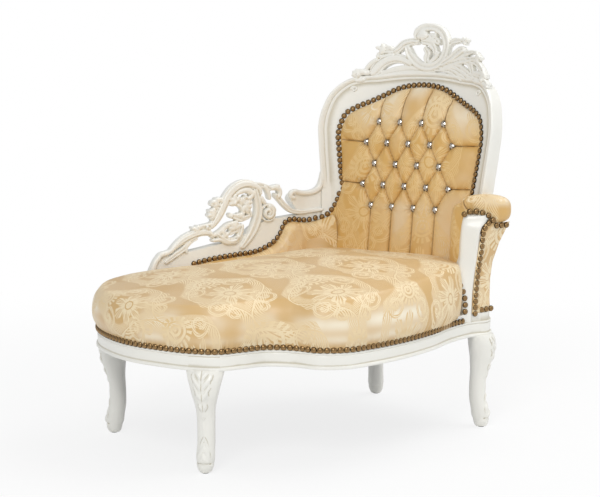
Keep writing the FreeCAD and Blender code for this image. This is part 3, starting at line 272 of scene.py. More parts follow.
# Crest, in the back's frame: height proud of the face, flutes, lobes, then x, y and width of each strand
CREST = [
    (13, 1, 0, [(-33, 762, 20), (-31, 781, 25), (-14, 795, 27), (9, 798, 25), (38, 789, 24), (61, 767, 22),
                (69, 744, 21), (66, 722, 21), (53, 699, 22), (25, 683, 22), (-5, 683, 22), (-36, 699, 22),
                (-55, 721, 20), (-63, 741, 14)]),
    (15, 0, 0, [(-30, 766, 20), (-16, 771, 26), (3, 766, 16)]),
    (12, 1, 2, [(-10, 769, 14), (12, 766, 20), (30, 758, 20), (44, 745, 9)]),
    (13, 1, 2, [(-20, 752, 10), (-1, 752, 17), (17, 746, 20), (29, 733, 18), (28, 716, 9)]),
    (11, 1, 2, [(-9, 738, 11), (5, 720, 18), (4, 703, 18), (10, 688, 12)]),
    (10, 0, 1, [(46, 727, 8), (34, 709, 14), (20, 697, 14), (14, 686, 8)]),
    (11, 2, 0, [(-26, 753, 17), (-52, 753, 19), (-74, 746, 21), (-90, 731, 20), (-104, 720, 12)]),
    (9, 1, 2, [(-88, 722, 13), (-111, 727, 15), (-133, 722, 12), (-153, 711, 5)]),
    (8, 1, 0, [(-97, 715, 11), (-118, 711, 11), (-138, 707, 9), (-156, 708, 4)]),
    (8, 0, 0, [(-104, 727, 9), (-120, 736, 9), (-132, 735, 4)]),
    (11, 3, 0, [(-42, 686, 15), (-64, 698, 21), (-89, 704, 25), (-114, 700, 27), (-136, 687, 28),
                (-152, 668, 28), (-163, 650, 16)]),
    (11, 0, 2, [(-170, 652, 15), (-189, 661, 17), (-203, 656, 13), (-215, 644, 6)]),
    (9, 0, 0, [(-176, 644, 13), (-192, 636, 13), (-209, 634, 7)]),
    (9, 0, 0, [(-146, 700, 10), (-162, 690, 12), (-177, 672, 10), (-182, 658, 5)]),
    (8, 1, 0, [(-142, 652, 6), (-100, 664, 12), (-52, 671, 15), (0, 673, 17), (38, 674, 14)]),
    (7, 1, 0, [(-138, 660, 5), (-112, 670, 9), (-80, 678, 11), (-44, 679, 11), (-12, 676, 9)]),
    (9, 1, 0, [(34, 675, 12), (77, 673, 14), (112, 660, 14), (137, 642, 8)]),
    (10, 1, 2, [(49, 680, 12), (93, 679, 16), (128, 666, 16), (164, 642, 9)]),
    (10, 1, 2, [(60, 686, 12), (110, 682, 17), (150, 667, 17), (198, 634, 9)]),
    (14, 1, 0, [(52, 688, 12), (82, 703, 19), (106, 718, 23), (124, 729, 21), (139, 731, 10)]),
    (8, 1, 2, [(68, 734, 11), (86, 751, 15), (106, 757, 15), (131, 747, 6)]),
    (10, 1, 2, [(96, 700, 12), (127, 716, 17), (156, 722, 14), (191, 718, 6)]),
    (11, 1, 2, [(76, 687, 14), (112, 697, 18), (150, 702, 17), (191, 702, 7)]),
    (10, 1, 2, [(137, 699, 14), (160, 690, 18), (173, 674, 17), (177, 656, 8)]),
    (10, 1, 2, [(158, 699, 12), (193, 688, 15), (218, 669, 15), (229, 650, 7)]),
    (10, 1, 0, [(156, 658, 13), (193, 652, 15), (230, 641, 11), (250, 628, 5)]),
    (9, 0, 0, [(178, 664, 10), (212, 660, 11), (238, 648, 6)]),
    (9, 1, 0, [(185, 640, 11), (222, 634, 13), (250, 620, 6)]),
]
# Height proud, then place, heading, spread, count, length and width of a fan of leaves
CREST_FANS = [
    (9, -128, 728, 170, 40, 3, 30, 8), (10, -196, 655, 190, 60, 4, 22, 9), (10, 16, 756, 60, 60, 3, 26, 9),
    (9, 186, 705, 0, 45, 3, 22, 8), (10, 214, 656, -20, 60, 4, 26, 9), (9, 128, 752, 20, 50, 3, 20, 7),
]
CREST_EYES = [(-196, 650, 8), (222, 642, 8), (-27, 768, 9)]
RIM_CURLS = [(-208, 609, 200), (208, 608, -20)]
CREST_REAR = 20.0

# Carved side: its face and thickness, the low and the high part of its board's edge and its end at the
# stile, then strands, fans, eyes and scroll as in the crest
SIDE_FACE = 292.0
SIDE_THICKNESS = 34.0
SIDE_LOW = [
    (-300, 322), (-297, 385), (-283, 432), (-258, 458), (-215, 464), (-150, 471), (-90, 480), (-30, 490),
    (10, 505), (50, 530), (90, 541), (140, 545), (190, 549),
]
SIDE_HIGH = [
    (190, 549), (176, 575), (164, 598), (172, 609), (195, 606), (225, 606), (246, 613), (258, 627),
    (262, 642),
]
SIDE_END = [(269, 642), (269, 322)]
SIDE_CARVING = [
    (8, 1, 0, [(-300, 335, 13), (-299, 385, 13), (-291, 425, 13), (-278, 452, 13), (-262, 467, 11)]),
    (9, 0, 0, [(-277, 448, 10), (-266, 465, 13), (-246, 470, 13), (-226, 478, 10)]),
    (11, 3, 0, [(-236, 473, 10), (-213, 492, 18), (-190, 506, 22), (-165, 515, 22), (-139, 520, 20),
                (-112, 517, 16), (-96, 506, 8)]),
    (9, 1, 0, [(-255, 442, 8), (-222, 462, 13), (-195, 477, 14), (-171, 497, 12), (-148, 505, 8)]),
    (8, 0, 0, [(-171, 498, 10), (-185, 482, 10), (-183, 463, 5)]),
    (8, 1, 0, [(-108, 505, 8), (-75, 518, 13), (-46, 537, 12), (-18, 541, 6)]),
    (11, 1, 2, [(-168, 520, 8), (-144, 527, 18), (-119, 535, 21), (-96, 533, 12)]),
    (12, 3, 0, [(-108, 532, 14), (-89, 553, 23), (-75, 574, 27), (-64, 594, 27), (-51, 616, 27),
                (-31, 636, 27), (-2, 648, 25), (30, 645, 20), (53, 632, 15), (57, 614, 9)]),
    (10, 1, 2, [(-84, 556, 14), (-97, 568, 14), (-106, 580, 5)]),
    (10, 1, 2, [(-70, 585, 14), (-92, 594, 15), (-108, 600, 5)]),
    (9, 0, 0, [(-62, 600, 14), (-78, 610, 12), (-92, 611, 5)]),
    (10, 0, 0, [(-27, 620, 10), (-8, 628, 14), (15, 630, 15), (30, 619, 14), (21, 608, 12), (6, 613, 8)]),
    (12, 1, 0, [(37, 634, 12), (46, 605, 18), (51, 568, 23), (41, 532, 24), (19, 496, 19), (-10, 466, 8)]),
    (11, 1, 2, [(-48, 594, 12), (-27, 598, 20), (-4, 589, 22), (15, 571, 18), (25, 552, 8)]),
    (10, 1, 2, [(-48, 567, 10), (-28, 557, 16), (-4, 551, 16), (22, 555, 8)]),
    (9, 0, 1, [(-10, 609, 10), (10, 600, 14), (32, 594, 7)]),
    (11, 2, 0, [(-90, 516, 10), (-65, 498, 16), (-42, 489, 18), (-18, 496, 18), (-8, 515, 16), (-4, 537, 8)]),
    (9, 1, 2, [(-104, 494, 8), (-75, 495, 13), (-47, 485, 12), (-26, 485, 8)]),
    (10, 1, 2, [(-50, 512, 10), (-28, 521, 20), (-12, 538, 12)]),
    (9, 0, 0, [(66, 641, 10), (82, 624, 11), (88, 598, 8)]),
    (9, 1, 0, [(34, 644, 14), (60, 642, 14), (84, 634, 12), (98, 628, 10)]),
    (10, 0, 0, [(92, 628, 14), (110, 633, 15), (123, 621, 13), (119, 607, 11), (106, 609, 8)]),
    (9, 1, 0, [(104, 612, 9), (120, 600, 13), (138, 582, 14), (161, 564, 13), (194, 557, 11), (229, 559, 9),
               (262, 564, 7)]),
    (9, 0, 0, [(57, 612, 10), (66, 598, 12), (75, 588, 10)]),
]
BAR_BEAD = [
    (176, 603, 9), (164, 602, 11), (161, 612, 12), (172, 618, 12), (195, 613, 13), (222, 612, 14),
    (244, 619, 15), (257, 634, 15), (262, 652, 14), (262.5, 674, 9),
]
SIDE_FANS = [
    (10, -146, 524, 150, 45, 3, 26, 8), (10, -92, 568, 165, 50, 4, 28, 9), (10, -80, 600, 170, 40, 3, 26, 9),
    (11, -26, 596, 120, 60, 4, 30, 10), (11, 2, 590, -40, 60, 4, 30, 10), (10, -28, 520, 100, 55, 4, 30, 10),
    (10, -60, 500, 110, 50, 3, 26, 9), (9, 12, 622, 60, 50, 3, 18, 7), (10, -10, 552, 60, 50, 3, 24, 9),
    (9, 112, 628, 60, 60, 3, 16, 7),
]
SIDE_EYES = [(-30, 597, 9), (-120, 534, 7), (6, 612, 7), (108, 612, 6), (-42, 560, 7), (-20, 500, 7)]
VOLUTE = (84, 562)
SIDE_REAR = 17.0

# Stage, in metres: name, place, aim, size and power of each light, then the camera
LIGHTS = (
    ("key_light", (-2.6, -2.6, 3.2), (0.0, 0.0, 0.5), (1.5, 1.5), 74.0),
    ("fill_light", (2.8, -2.4, 1.6), (0.2, 0.0, 0.6), (1.6, 2.2), 13.0),
    ("top_light", (1.7, -0.5, 3.3), (0.0, -0.1, 0.45), (2.6, 2.0), 44.0),
)
CAMERA_PLACE = (-2.4267, -3.7172, 1.1045)
CAMERA_TURN = (90 - 7.781, 0.0, -33.175)
CAMERA_SENSOR = 36.0
CAMERA_LENS = 99.8
CAMERA_FAR = 60.0
FLOOR_RADIUS = 9.0


class Track:
    """A smooth line through points, read by share of its length or of its points."""

    STEPS = 16

    def __init__(self, points, closed=False, by_length=True):
        spots = np.array(points, float)
        count = len(spots)
        self.closed = closed
        tangents = np.zeros_like(spots)
        for i in range(count):
            if closed or 0 < i < count - 1:
                before = spots[i] - spots[i - 1]
                after = spots[(i + 1) % count] - spots[i]
                near, far = np.linalg.norm(before), np.linalg.norm(after)
                mix = before * (far / near) + after * (near / far)
                tangents[i] = mix / np.linalg.norm(mix)
        if not closed:
            for end, inner, chord in ((0, 1, spots[1] - spots[0]), (-1, -2, spots[-1] - spots[-2])):
                tangents[end] = along = chord / np.linalg.norm(chord)
                if count > 2:
                    tangents[end] = 2 * along * along.dot(tangents[inner]) - tangents[inner]
        share = (np.arange(self.STEPS) / self.STEPS)[:, None]
        rows = []
        for i in range(count if closed else count - 1):
            j = (i + 1) % count
            chord = np.linalg.norm(spots[j] - spots[i])
            rows.append((2 * share ** 3 - 3 * share ** 2 + 1) * spots[i]
                        + (share ** 3 - 2 * share ** 2 + share) * chord * tangents[i]
                        + (3 * share ** 2 - 2 * share ** 3) * spots[j]
                        + (share ** 3 - share ** 2) * chord * tangents[j])
        self.line = np.vstack(rows + [spots[:1] if closed else spots[-1:]])
        runs = np.linalg.norm(np.diff(self.line[:, :2], axis=0), axis=1)
        self.length = runs.sum()
        steps = runs if by_length else np.ones_like(runs)
        self.key = np.concatenate([[0], np.cumsum(steps)]) / steps.sum()

    def at(self, share):
        share = np.mod(share, 1.0) if self.closed else np.clip(share, 0, 1)
        return np.stack([np.interp(share, self.key, column) for column in self.line.T], axis=-1)

    def heading(self, share, step=0.002):
        way = (self.at(share + step) - self.at(share - step))[..., :2]
        return way / np.maximum(np.linalg.norm(way, axis=-1, keepdims=True), 1e-9)

    def nearest(self, spot):
        """Share of the length at the point nearest to a spot."""
        gaps = np.linalg.norm(self.line[:, :2] - np.array(spot[:2]), axis=1)
        return self.key[int(gaps.argmin())]


SEAT_LINE = Track(SEAT_PLAN, closed=True)
HEAD_SHARE = LEG_HEAD_HALF / SEAT_LINE.length


def mirrored(points):
    """A half run carried over the middle, from the viewer's left to the right."""
    return [(-p[0], *p[1:]) for p in points] + [tuple(p) for p in points[::-1][1:]]


def outward(heading):
    return np.stack([heading[..., 1], -heading[..., 0]], axis=-1)


def grow(value, start, run):
    """Rises from 0 at start to 1 a run further on; with a negative run it rises downwards."""
    return np.clip((value - start) / run, 0, 1)


def bell(value, width):
    return np.exp(-(value / width) ** 2)


def bowed(value, power):
    """A power that keeps the sign."""
    return np.sign(value) * np.abs(value) ** power


def rounded(gap, radius, bulge=2.0, power=0.5):
    """Height of a rounded edge: 0 at the edge, 1 from a radius in."""
    return (1 - (1 - grow(gap, 0, radius)) ** bulge) ** power


def read_at(heights, table, first, last):
    """Columns of a table at heights."""
    return [np.interp(heights, table[:, 0], table[:, k]) for k in range(first, last)]


def lengths_of(line):
    """Length from the start to each point of a line."""
    return np.concatenate([[0], np.cumsum(np.linalg.norm(np.diff(line, axis=0), axis=1))])


def at_lengths(line, steps):
    runs = lengths_of(line)
    return np.stack([np.interp(steps, runs, column) for column in line.T], axis=-1)


def back_place(s, y, h):
    """Points of the back's own frame in millimetres of the object."""
    lean, turn = math.radians(LEAN), math.radians(BACK_TURN)
    depth = y * math.cos(lean) + h * math.sin(lean)
    rise = h * math.cos(lean) - y * math.sin(lean)
    along = s * math.cos(turn) + depth * math.sin(turn)
    across = depth * math.cos(turn) - s * math.sin(turn)
    return np.stack([along + BACK_SPOT[0], across + BACK_SPOT[1], rise + BACK_SPOT[2]], axis=-1)


def on_back(s, h, proud):
    """Points at a height proud of the back's hollow face."""
    radius = BACK_RADIUS - proud
    y = np.sqrt(radius ** 2 - s ** 2) - BACK_RADIUS
    return back_place(s, y, h)


def side_turn(x, z, beyond=0.0):
    """How far the side's inner face turns in near the stile, and past it by a slope."""
    reach = 20.5 - 0.12 * (np.clip(z, 535, 645) - 548)
    return reach * np.clip((x - 204) / 52, 0, 1) ** 2 + np.clip(x - 256, 0, None) * beyond


def on_side(x, z, proud):
    """Points proud of the carved side's inner face."""
    return np.column_stack([x, SIDE_FACE - proud - side_turn(x, z), z])


def on_bar(x, z, proud):
    """Points of the side's top bead, which sinks into the rim of the stile at its end."""
    return on_side(x, z, proud * (1 - 0.45 * np.clip((z - 640) / 32, 0, 1)))


def to_segment(s, h, a, b):
    """Distance from points to a line between two places, and the nearest place on it."""
    dx, dy = b[0] - a[0], b[1] - a[1]
    share = np.clip(((s - a[0]) * dx + (h - a[1]) * dy) / (dx * dx + dy * dy), 0, 1)
    px, py = a[0] + dx * share, a[1] + dy * share
    return np.hypot(s - px, h - py), px, py


def only(piece):
    """Selects one piece and makes it active."""
    bpy.ops.object.select_all(action="DESELECT")
    piece.select_set(True)
    bpy.context.view_layer.objects.active = piece


def read_all(items, key, width, kind=float):
    """One property of every item of a mesh, in rows."""
    flat = np.empty(len(items) * width, kind)
    items.foreach_get(key, flat)
    return flat.reshape(-1, width)


def points_of(piece):
    return read_all(piece.data.vertices, "co", 3)


def formed(name, columns, rows, place):
    """A grid whose points go to place(u, v) in millimetres; place may add their places on the cloth."""
    bpy.ops.object.select_all(action="DESELECT")
    bpy.ops.mesh.primitive_grid_add(x_subdivisions=columns, y_subdivisions=rows, size=2.0)
    piece = bpy.context.object
    mesh = piece.data
    piece.name = mesh.name = name
    made = place(*((points_of(piece)[:, :2] + 1) / 2).T)
    spots, cloth = made if isinstance(made, tuple) else (made, None)
    mesh.vertices.foreach_set("co", (spots * MM + MIDDLE).ravel())
    if cloth is not None:
        mesh.uv_layers.active.name = "Cloth"
        corners = read_all(mesh.loops, "vertex_index", 1, int)[:, 0]
        mesh.uv_layers.active.data.foreach_set("uv", (cloth * MM)[corners].ravel())
    mesh.update()
    return piece


def mark(piece, name, values):
    """Keeps a value at each point, or one for all, for the material."""
    layer = piece.data.attributes.get(name) or piece.data.attributes.new(name, "FLOAT", "POINT")
    every = np.broadcast_to(np.asarray(values, float), len(piece.data.vertices))
    layer.data.foreach_set("value", every.ravel())


def sealed(piece, gap=0.004):
    """Joins seams, fills the ends and turns the faces outwards."""
    work = bmesh.new()
    work.from_mesh(piece.data)
    bmesh.ops.remove_doubles(work, verts=work.verts, dist=gap * MM)
    bmesh.ops.dissolve_degenerate(work, edges=work.edges, dist=gap * MM)
    bmesh.ops.holes_fill(work, edges=[edge for edge in work.edges if edge.is_boundary], sides=0)
    bmesh.ops.recalc_face_normals(work, faces=work.faces)
    work.to_mesh(piece.data)
    work.free()
    return piece


def joined(name, pieces):
    bpy.ops.object.select_all(action="DESELECT")
    for piece in pieces:
        piece.select_set(True)
    bpy.context.view_layer.objects.active = pieces[0]
    if len(pieces) > 1:
        bpy.ops.object.join()
    pieces[0].name = name
    pieces[0].data.name = name
    return pieces[0]


def applied(piece, kind, **values):
    """Adds a modifier and applies it."""
    only(piece)
    change = piece.modifiers.new(kind.title(), kind)
    for key, value in values.items():
        setattr(change, key, value)
    bpy.ops.object.modifier_apply(modifier=change.name)


def placed(name, mesh):
    """A new object of the scene."""
    piece = bpy.data.objects.new(name, mesh)
    bpy.context.collection.objects.link(piece)
    return piece


def cylinder(sides, radius, depth, **more):
    """A round piece in millimetres, fresh and selected alone."""
    bpy.ops.object.select_all(action="DESELECT")
    bpy.ops.mesh.primitive_cylinder_add(vertices=sides, radius=radius * MM, depth=depth * MM, **more)
    return bpy.context.object


def hollows(piece, reach):
    """Marks how far into a hollow each point lies, for the painted shade of the lacquer there."""
    spots = points_of(piece)
    normals = read_all(piece.data.vertices, "normal", 3)
    ends = read_all(piece.data.edges, "vertices", 2, int)
    here, there = np.vstack([ends, ends[:, ::-1]]).T
    count = np.maximum(np.bincount(here, minlength=len(spots)), 1)[:, None]
    field = spots
    for turn in range(3):
        total = np.zeros_like(spots)
        np.add.at(total, here, field[there])
        field = total / count
    lift = ((field - spots) * normals).sum(axis=1) / (reach * MM)
    # The ends of a moulding are flat many-sided faces, which take their values from the rows next to them
    away = np.full(len(spots), 9)
    for face in piece.data.polygons:
        if len(face.vertices) > 12:
            away[list(face.vertices)] = 0
    for turn in range(4):
        np.minimum.at(away, here, away[there] + 1)
    for level in (3, 2, 1, 0):
        inward = (away[here] == level) & (away[there] == level + 1)
        lift[here[inward]] = lift[there[inward]]
    mark(piece, "hollow", np.clip(lift, 0, 1))
    return piece


def in_box(piece, reach=0.02):
    """Draws the last of a piece that would pass the CAD model's box back to the box."""
    mesh = piece.data
    spots = points_of(piece)
    for axis in range(3):
        for sign in (-1, 1):
            wall = CAD_BOX[(sign + 1) // 2][axis] * sign
            line = spots[:, axis] * sign
            start, top = wall - reach, line.max()
            if top > wall:
                past = line > start
                line[past] = start + (line[past] - start) * reach / (top - start)
                spots[:, axis] = line * sign
    mesh.vertices.foreach_set("co", spots.ravel())
    mesh.update()


def finished(piece, look, nodes, angle):
    """Gives a piece its material and its body, and hides the nodes that it stands for."""
    in_box(piece)
    piece.data.materials.clear()
    piece.data.materials.append(look_of(look))
    only(piece)
    bpy.ops.object.shade_smooth_by_angle(angle=math.radians(angle))
    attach(piece, "root")
    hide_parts(*nodes)


def lacquered(piece, node, reach, angle):
    finished(hollows(piece, reach), "lacquer", [node], angle)


def seats_of(node):
    """Middle of the flat base and outward axis of each solid of a node, in metres."""
    work = bmesh.new()
    work.from_mesh(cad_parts[node].data)
    bmesh.ops.remove_doubles(work, verts=work.verts, dist=0.01 * MM)
    bmesh.ops.triangulate(work, faces=work.faces)
    seen = set()
    seats = []
    for start in work.faces:
        if start.index in seen:
            continue
        seen.add(start.index)
        island = [start]
        for face in island:
            for edge in face.edges:
                for other in edge.link_faces:
                    if other.index not in seen:
                        seen.add(other.index)
                        island.append(other)
        flats = {}
        for face in island:
            key = tuple(round(part, 2) + 0.0 for part in face.normal)
            area, middle = flats.get(key, (0.0, Vector()))
            size = face.calc_area()
            flats[key] = (area + size, middle + face.calc_center_median() * size)
        key = max(flats, key=lambda item: flats[item][0])
        area, middle = flats[key]
        seats.append((middle / area, -Vector(key).normalized()))
    work.free()
    return seats


def set_on(name, seats, pattern, values, attribute):
    """Copies a small pattern mesh on to each seat as one piece, with one kept value for each point."""
    spots, faces = pattern
    all_spots, all_faces = [], []
    for middle, axis in seats:
        turn = axis.to_track_quat("Z", "Y").to_matrix()
        base = len(all_spots)
        all_spots += [middle + turn @ Vector(spot) for spot in spots]
        all_faces += [tuple(base + corner for corner in face) for face in faces]
    mesh = bpy.data.meshes.new(name)
    mesh.from_pydata(all_spots, [], all_faces)
    piece = placed(name, mesh)
    mark(piece, attribute, list(values) * len(seats))
    return piece


def read_pattern(piece):
    """Points and faces of a modelled pattern, which is then removed."""
    spots = [tuple(point.co) for point in piece.data.vertices]
    faces = [tuple(face.vertices) for face in piece.data.polygons]
    bpy.data.objects.remove(piece)
    return spots, faces


def row_seats(line, facing):
    """Seats at the nails' pitch along a line in millimetres; facing(spot) gives the way each nail looks."""
    line = np.array(line, float)
    length = lengths_of(line)[-1]
    count = max(2, int(round(length / NAIL_PITCH)) + 1)
    places = at_lengths(line, np.linspace(0, length, count))
    return [(Vector(spot * MM + MIDDLE), Vector(facing(spot)).normalized()) for spot in places]


class Reading:
    """A socket that takes part in sums; | gives the larger of two values and & the smaller."""

    def __init__(self, sheet, link):
        self.sheet = sheet
        self.link = link

    def __add__(self, other):
        return self.sheet.sum("ADD", self, other)

    __radd__ = __add__

    def __sub__(self, other):
        return self.sheet.sum("SUBTRACT", self, other)

    def __rsub__(self, other):
        return self.sheet.sum("SUBTRACT", other, self)

    def __mul__(self, other):
        return self.sheet.sum("MULTIPLY", self, other)

    __rmul__ = __mul__

    def __truediv__(self, other):
        return self.sheet.sum("DIVIDE", self, other)

    def __or__(self, other):
        return self.sheet.sum("MAXIMUM", self, other)

    def __and__(self, other):
        return self.sheet.sum("MINIMUM", self, other)

    def __abs__(self):
        return self.sheet.sum("ABSOLUTE", self)


class Sheet:
    """The nodes of a material or of the world."""

    def __init__(self, tree):
        self.tree = tree
        tree.nodes.clear()

    def node(self, kind, choices=None, **inputs):
        """A node; its inputs go by name with _ for a space, or by place as i0 and i1."""
        made = self.tree.nodes.new(kind)
        for key, value in (choices or {}).items():
            setattr(made, key, value)
        for key, value in inputs.items():
            by_place = key[0] == "i" and key[1:].isdigit()
            self.feed(made.inputs[int(key[1:]) if by_place else key.replace("_", " ")], value)
        return made

    def feed(self, socket, value):
        if isinstance(value, Reading):
            value = value.link
        if isinstance(value, bpy.types.NodeSocket):
            self.tree.links.new(value, socket)
        elif socket.type == "RGBA" and len(value) == 3:
            socket.default_value = (*value, 1.0)
        else:
            socket.default_value = value

    def sum(self, operation, *values):
        made = self.node("ShaderNodeMath", {"operation": operation})
        for socket, value in zip(made.inputs, values):
            self.feed(socket, value)
        return Reading(self, made.outputs[0])

    def seen_by(self, first, second):
        """1 for rays of either kind."""
        path = self.node("ShaderNodeLightPath")
        return Reading(self, path.outputs[first]) | Reading(self, path.outputs[second])


class Look(Sheet):
    """One material and what its nodes are made with."""

    def __init__(self, name):
        self.material = bpy.data.materials.new(name)
        self.material.use_nodes = True
        super().__init__(self.material.node_tree)
        self.shader = self.node("ShaderNodeBsdfPrincipled")
        self.end = self.node("ShaderNodeOutputMaterial", Surface=self.shader.outputs[0])

    def ramp(self, value, start, end, low=0.0, high=1.0):
        """A soft step of a value from start to end."""
        made = self.node("ShaderNodeMapRange", {"interpolation_type": "SMOOTHSTEP"}, Value=value,
                         From_Min=start, From_Max=end, To_Min=low, To_Max=high)
        return Reading(self, made.outputs[0])

    def blend(self, share, first, second):
        """A colour between two."""
        return self.node("ShaderNodeMix", {"data_type": "RGBA"}, i0=share, i6=first, i7=second).outputs[2]

    def place(self):
        return self.node("ShaderNodeTexCoord").outputs["Object"]

    def noise(self, scale, detail=2.0, where=None):
        made = self.node("ShaderNodeTexNoise", Scale=scale, Detail=detail, Vector=where or self.place())
        return Reading(self, made.outputs[0])

    def parts(self, vector):
        """The first two parts of a vector."""
        split = self.node("ShaderNodeSeparateXYZ", Vector=vector)
        return Reading(self, split.outputs[0]), Reading(self, split.outputs[1])

    def kept(self, name):
        """A value kept at the points."""
        return Reading(self, self.node("ShaderNodeAttribute", {"attribute_name": name}).outputs["Fac"])

    def bump(self, height, strength, distance):
        return self.node("ShaderNodeBump", Strength=strength, Distance=distance, Height=height).outputs[0]

    def paint(self, **inputs):
        for key, value in inputs.items():
            self.feed(self.shader.inputs[key.replace("_", " ")], value)
        return self.material


class ChaiseSettings(bpy.types.PropertyGroup):
    """Sizes and colours of the chaise longue"""

    lacquer: bpy.props.FloatVectorProperty(
        name="Lacquer", description="Colour of the carved frame", subtype="COLOR",
        default=(0.900, 0.885, 0.825))
    # Colour of the painted shade in the hollows of the carving
    hollow_shade: bpy.props.FloatVectorProperty(
        name="Glaze", description="Colour of the lacquer in the hollows", subtype="COLOR",
        default=(0.60, 0.555, 0.44))
    ground: bpy.props.FloatVectorProperty(
        name="Cloth ground", description="Colour of the satin ground", subtype="COLOR",
        default=(0.685, 0.440, 0.175))
    figure: bpy.props.FloatVectorProperty(
        name="Cloth figure", description="Colour of the woven figure", subtype="COLOR",
        default=(0.910, 0.755, 0.500))
    # Colour of the painted shade in the folds and creases of the cloth
    shade: bpy.props.FloatVectorProperty(
        name="Crease", description="Colour in the folds of the cloth", subtype="COLOR",
        default=(0.20, 0.095, 0.025))
    brass: bpy.props.FloatVectorProperty(
        name="Nails", description="Colour of the antique nails", subtype="COLOR",
        default=(0.310, 0.192, 0.084))
    motif: bpy.props.FloatProperty(
        name="Motif", description="Width of one repeat of the cloth's figure", subtype="DISTANCE",
        unit="LENGTH", default=0.21)
    tuft: bpy.props.FloatProperty(
        name="Tuft depth", description="Depth of the back's tufts", subtype="DISTANCE",
        unit="LENGTH", default=0.0175)


def settings():
    return bpy.context.scene.chaise


# Scrolls of the cloth's figure in metres: place across and up, size and way of winding
SCROLLS = ((0.062, 0.052, 0.033, 1.0), (0.066, -0.085, 0.036, -1.0), (0.036, -0.128, 0.024, 1.0))
SCROLLS_WIDTH = 0.21


def damask(look, where, width):
    """The woven figure of the cloth: a half drop repeat of leaves, eyes, fans and scrolls."""
    height = 1.5 * width
    warp = look.node("ShaderNodeTexNoise", Vector=where, Scale=6.0, Detail=1.5).outputs[1]
    moved = look.node("ShaderNodeVectorMath", {"operation": "MULTIPLY_ADD"}, i0=warp, i1=(0.055, 0.055, 0.0),
                      i2=where)
    x, y = look.parts(moved.outputs[0])
    x, y = x / width, y / height
    odd = look.sum("FLOORED_MODULO", look.sum("FLOOR", x), 2.0)
    p = abs(look.sum("FRACT", x) - 0.5) * width
    q = (look.sum("FRACT", y + odd * 0.5) - 0.5) * height

    def polar(cx, cy):
        across, up = p - cx, q - cy
        return look.sum("SQRT", across * across + up * up), look.sum("ARCTAN2", across, up)

    def wave(value, turns=1.0):
        return look.sum("COSINE", value * turns)

    def within(value, edge, soft):
        """1 under an edge, 0 past a soft one."""
        return look.ramp(value, edge, soft, 1.0, 0.0)

    # Stem with barbs
    off = abs(p - (wave(q, 2 * math.pi / height) * (width / 4) + width / 4))
    barbs = look.ramp(wave(q + off * 1.7, 2 * math.pi / 0.0105), -0.45, 0.15)
    barbs = barbs & within(off, 0.024, 0.036) & look.ramp(off, 0.0036, 0.0052)
    figure = within(off, 0.0018, 0.0034) | barbs
    # Fan of seven ribbed petals
    r, a = polar(0.0, -0.03)
    reach = abs(wave(a, 3.5)) * 0.034 + wave(a, 31.0) * 0.003 + 0.036
    petals = within(r - reach, -0.0016, 0.0016) & look.ramp(abs(wave(a + math.pi / 7, 3.5)), 0.05, 0.14)
    ribs = look.ramp(wave(a, 28.0), -0.95, -0.35) | within(r, 0.028, 0.034)
    figure = figure | (petals & ribs & look.ramp(abs(r - 0.014), 0.0014, 0.0028))
    # Eye with lashes
    r, a = polar(0.0, 0.098)
    figure = figure | (look.ramp(wave(r, 2 * math.pi / 0.0135), -0.35, 0.1) & within(r, 0.030, 0.0315))
    figure = figure | (look.ramp(wave(a, 17.0), -0.4, 0.1) & within(abs(r - 0.041), 0.007, 0.0095))
    for cx, cy, size, turn in SCROLLS:
        r, a = polar(cx * width / SCROLLS_WIDTH, cy * width / SCROLLS_WIDTH)
        band = look.ramp(wave(a * turn + r * (2 * math.pi / 0.021)), -0.30, 0.1)
        hatch = look.ramp(wave(a * 3.0 - r * (2 * math.pi / 0.006 * turn)), -0.9, -0.3)
        figure = figure | (band & hatch & within(r, size, size * 1.08))
    return figure


def make_cloth():
    """Tone on tone satin damask with a fine weave, with painted shade, painted fold shade and a painted satin
    highlight in its colour.
    """
    look = Look("satin_damask")
    where = look.node("ShaderNodeUVMap", {"uv_map": "Cloth"}).outputs[0]
    broken = look.ramp(look.noise(260.0, 3.0, where), 0.30, 0.50, 0.70, 1.0)
    figure = damask(look, where, settings().motif) * broken
    # Noisy patches in which the painted highlight is laid on
    highlight_patches = look.ramp(look.noise(4.5, 2.0), 0.40, 0.60)
    crease_shade = look.kept("crease_shade")
    tone = look.blend(figure, settings().ground, settings().figure)
    # A darker copy of the cloth's colours as painted shade, laid on where the cloth lies in shade
    painted_shade = look.blend(figure, (0.725, 0.435, 0.120), (0.785, 0.510, 0.175))
    # A lighter copy of the cloth's colours as a painted satin highlight, the ground turning paler than the
    # figure
    painted_highlight = look.blend(figure, (0.955, 0.860, 0.680), (0.780, 0.550, 0.260))
    tone = look.blend(look.kept("painted_shade") * 0.8, tone, painted_shade)
    tone = look.blend(look.kept("painted_highlight") * highlight_patches, tone, painted_highlight)
    # Painted shade in the folds and along the pleats and creases
    tone = look.blend(look.ramp(crease_shade, 0.05, 1.0, 0.0, 0.92), tone, settings().shade)
    across, along = look.parts(where)
    weave = look.sum("SINE", across * 5200.0) * look.sum("SINE", along * 7800.0)
    height = weave * 0.3 + figure * 0.55 + look.noise(900.0, 1.0, where) * 0.4
    return look.paint(
        Base_Color=tone, Roughness=look.ramp(figure, 0.0, 1.0, 0.36, 0.54) + crease_shade * 0.3,
        Normal=look.bump(height, 0.16, 0.0006), Sheen_Weight=0.22, Sheen_Roughness=0.35,
        Specular_IOR_Level=0.62, Sheen_Tint=(1.0, 0.93, 0.80))


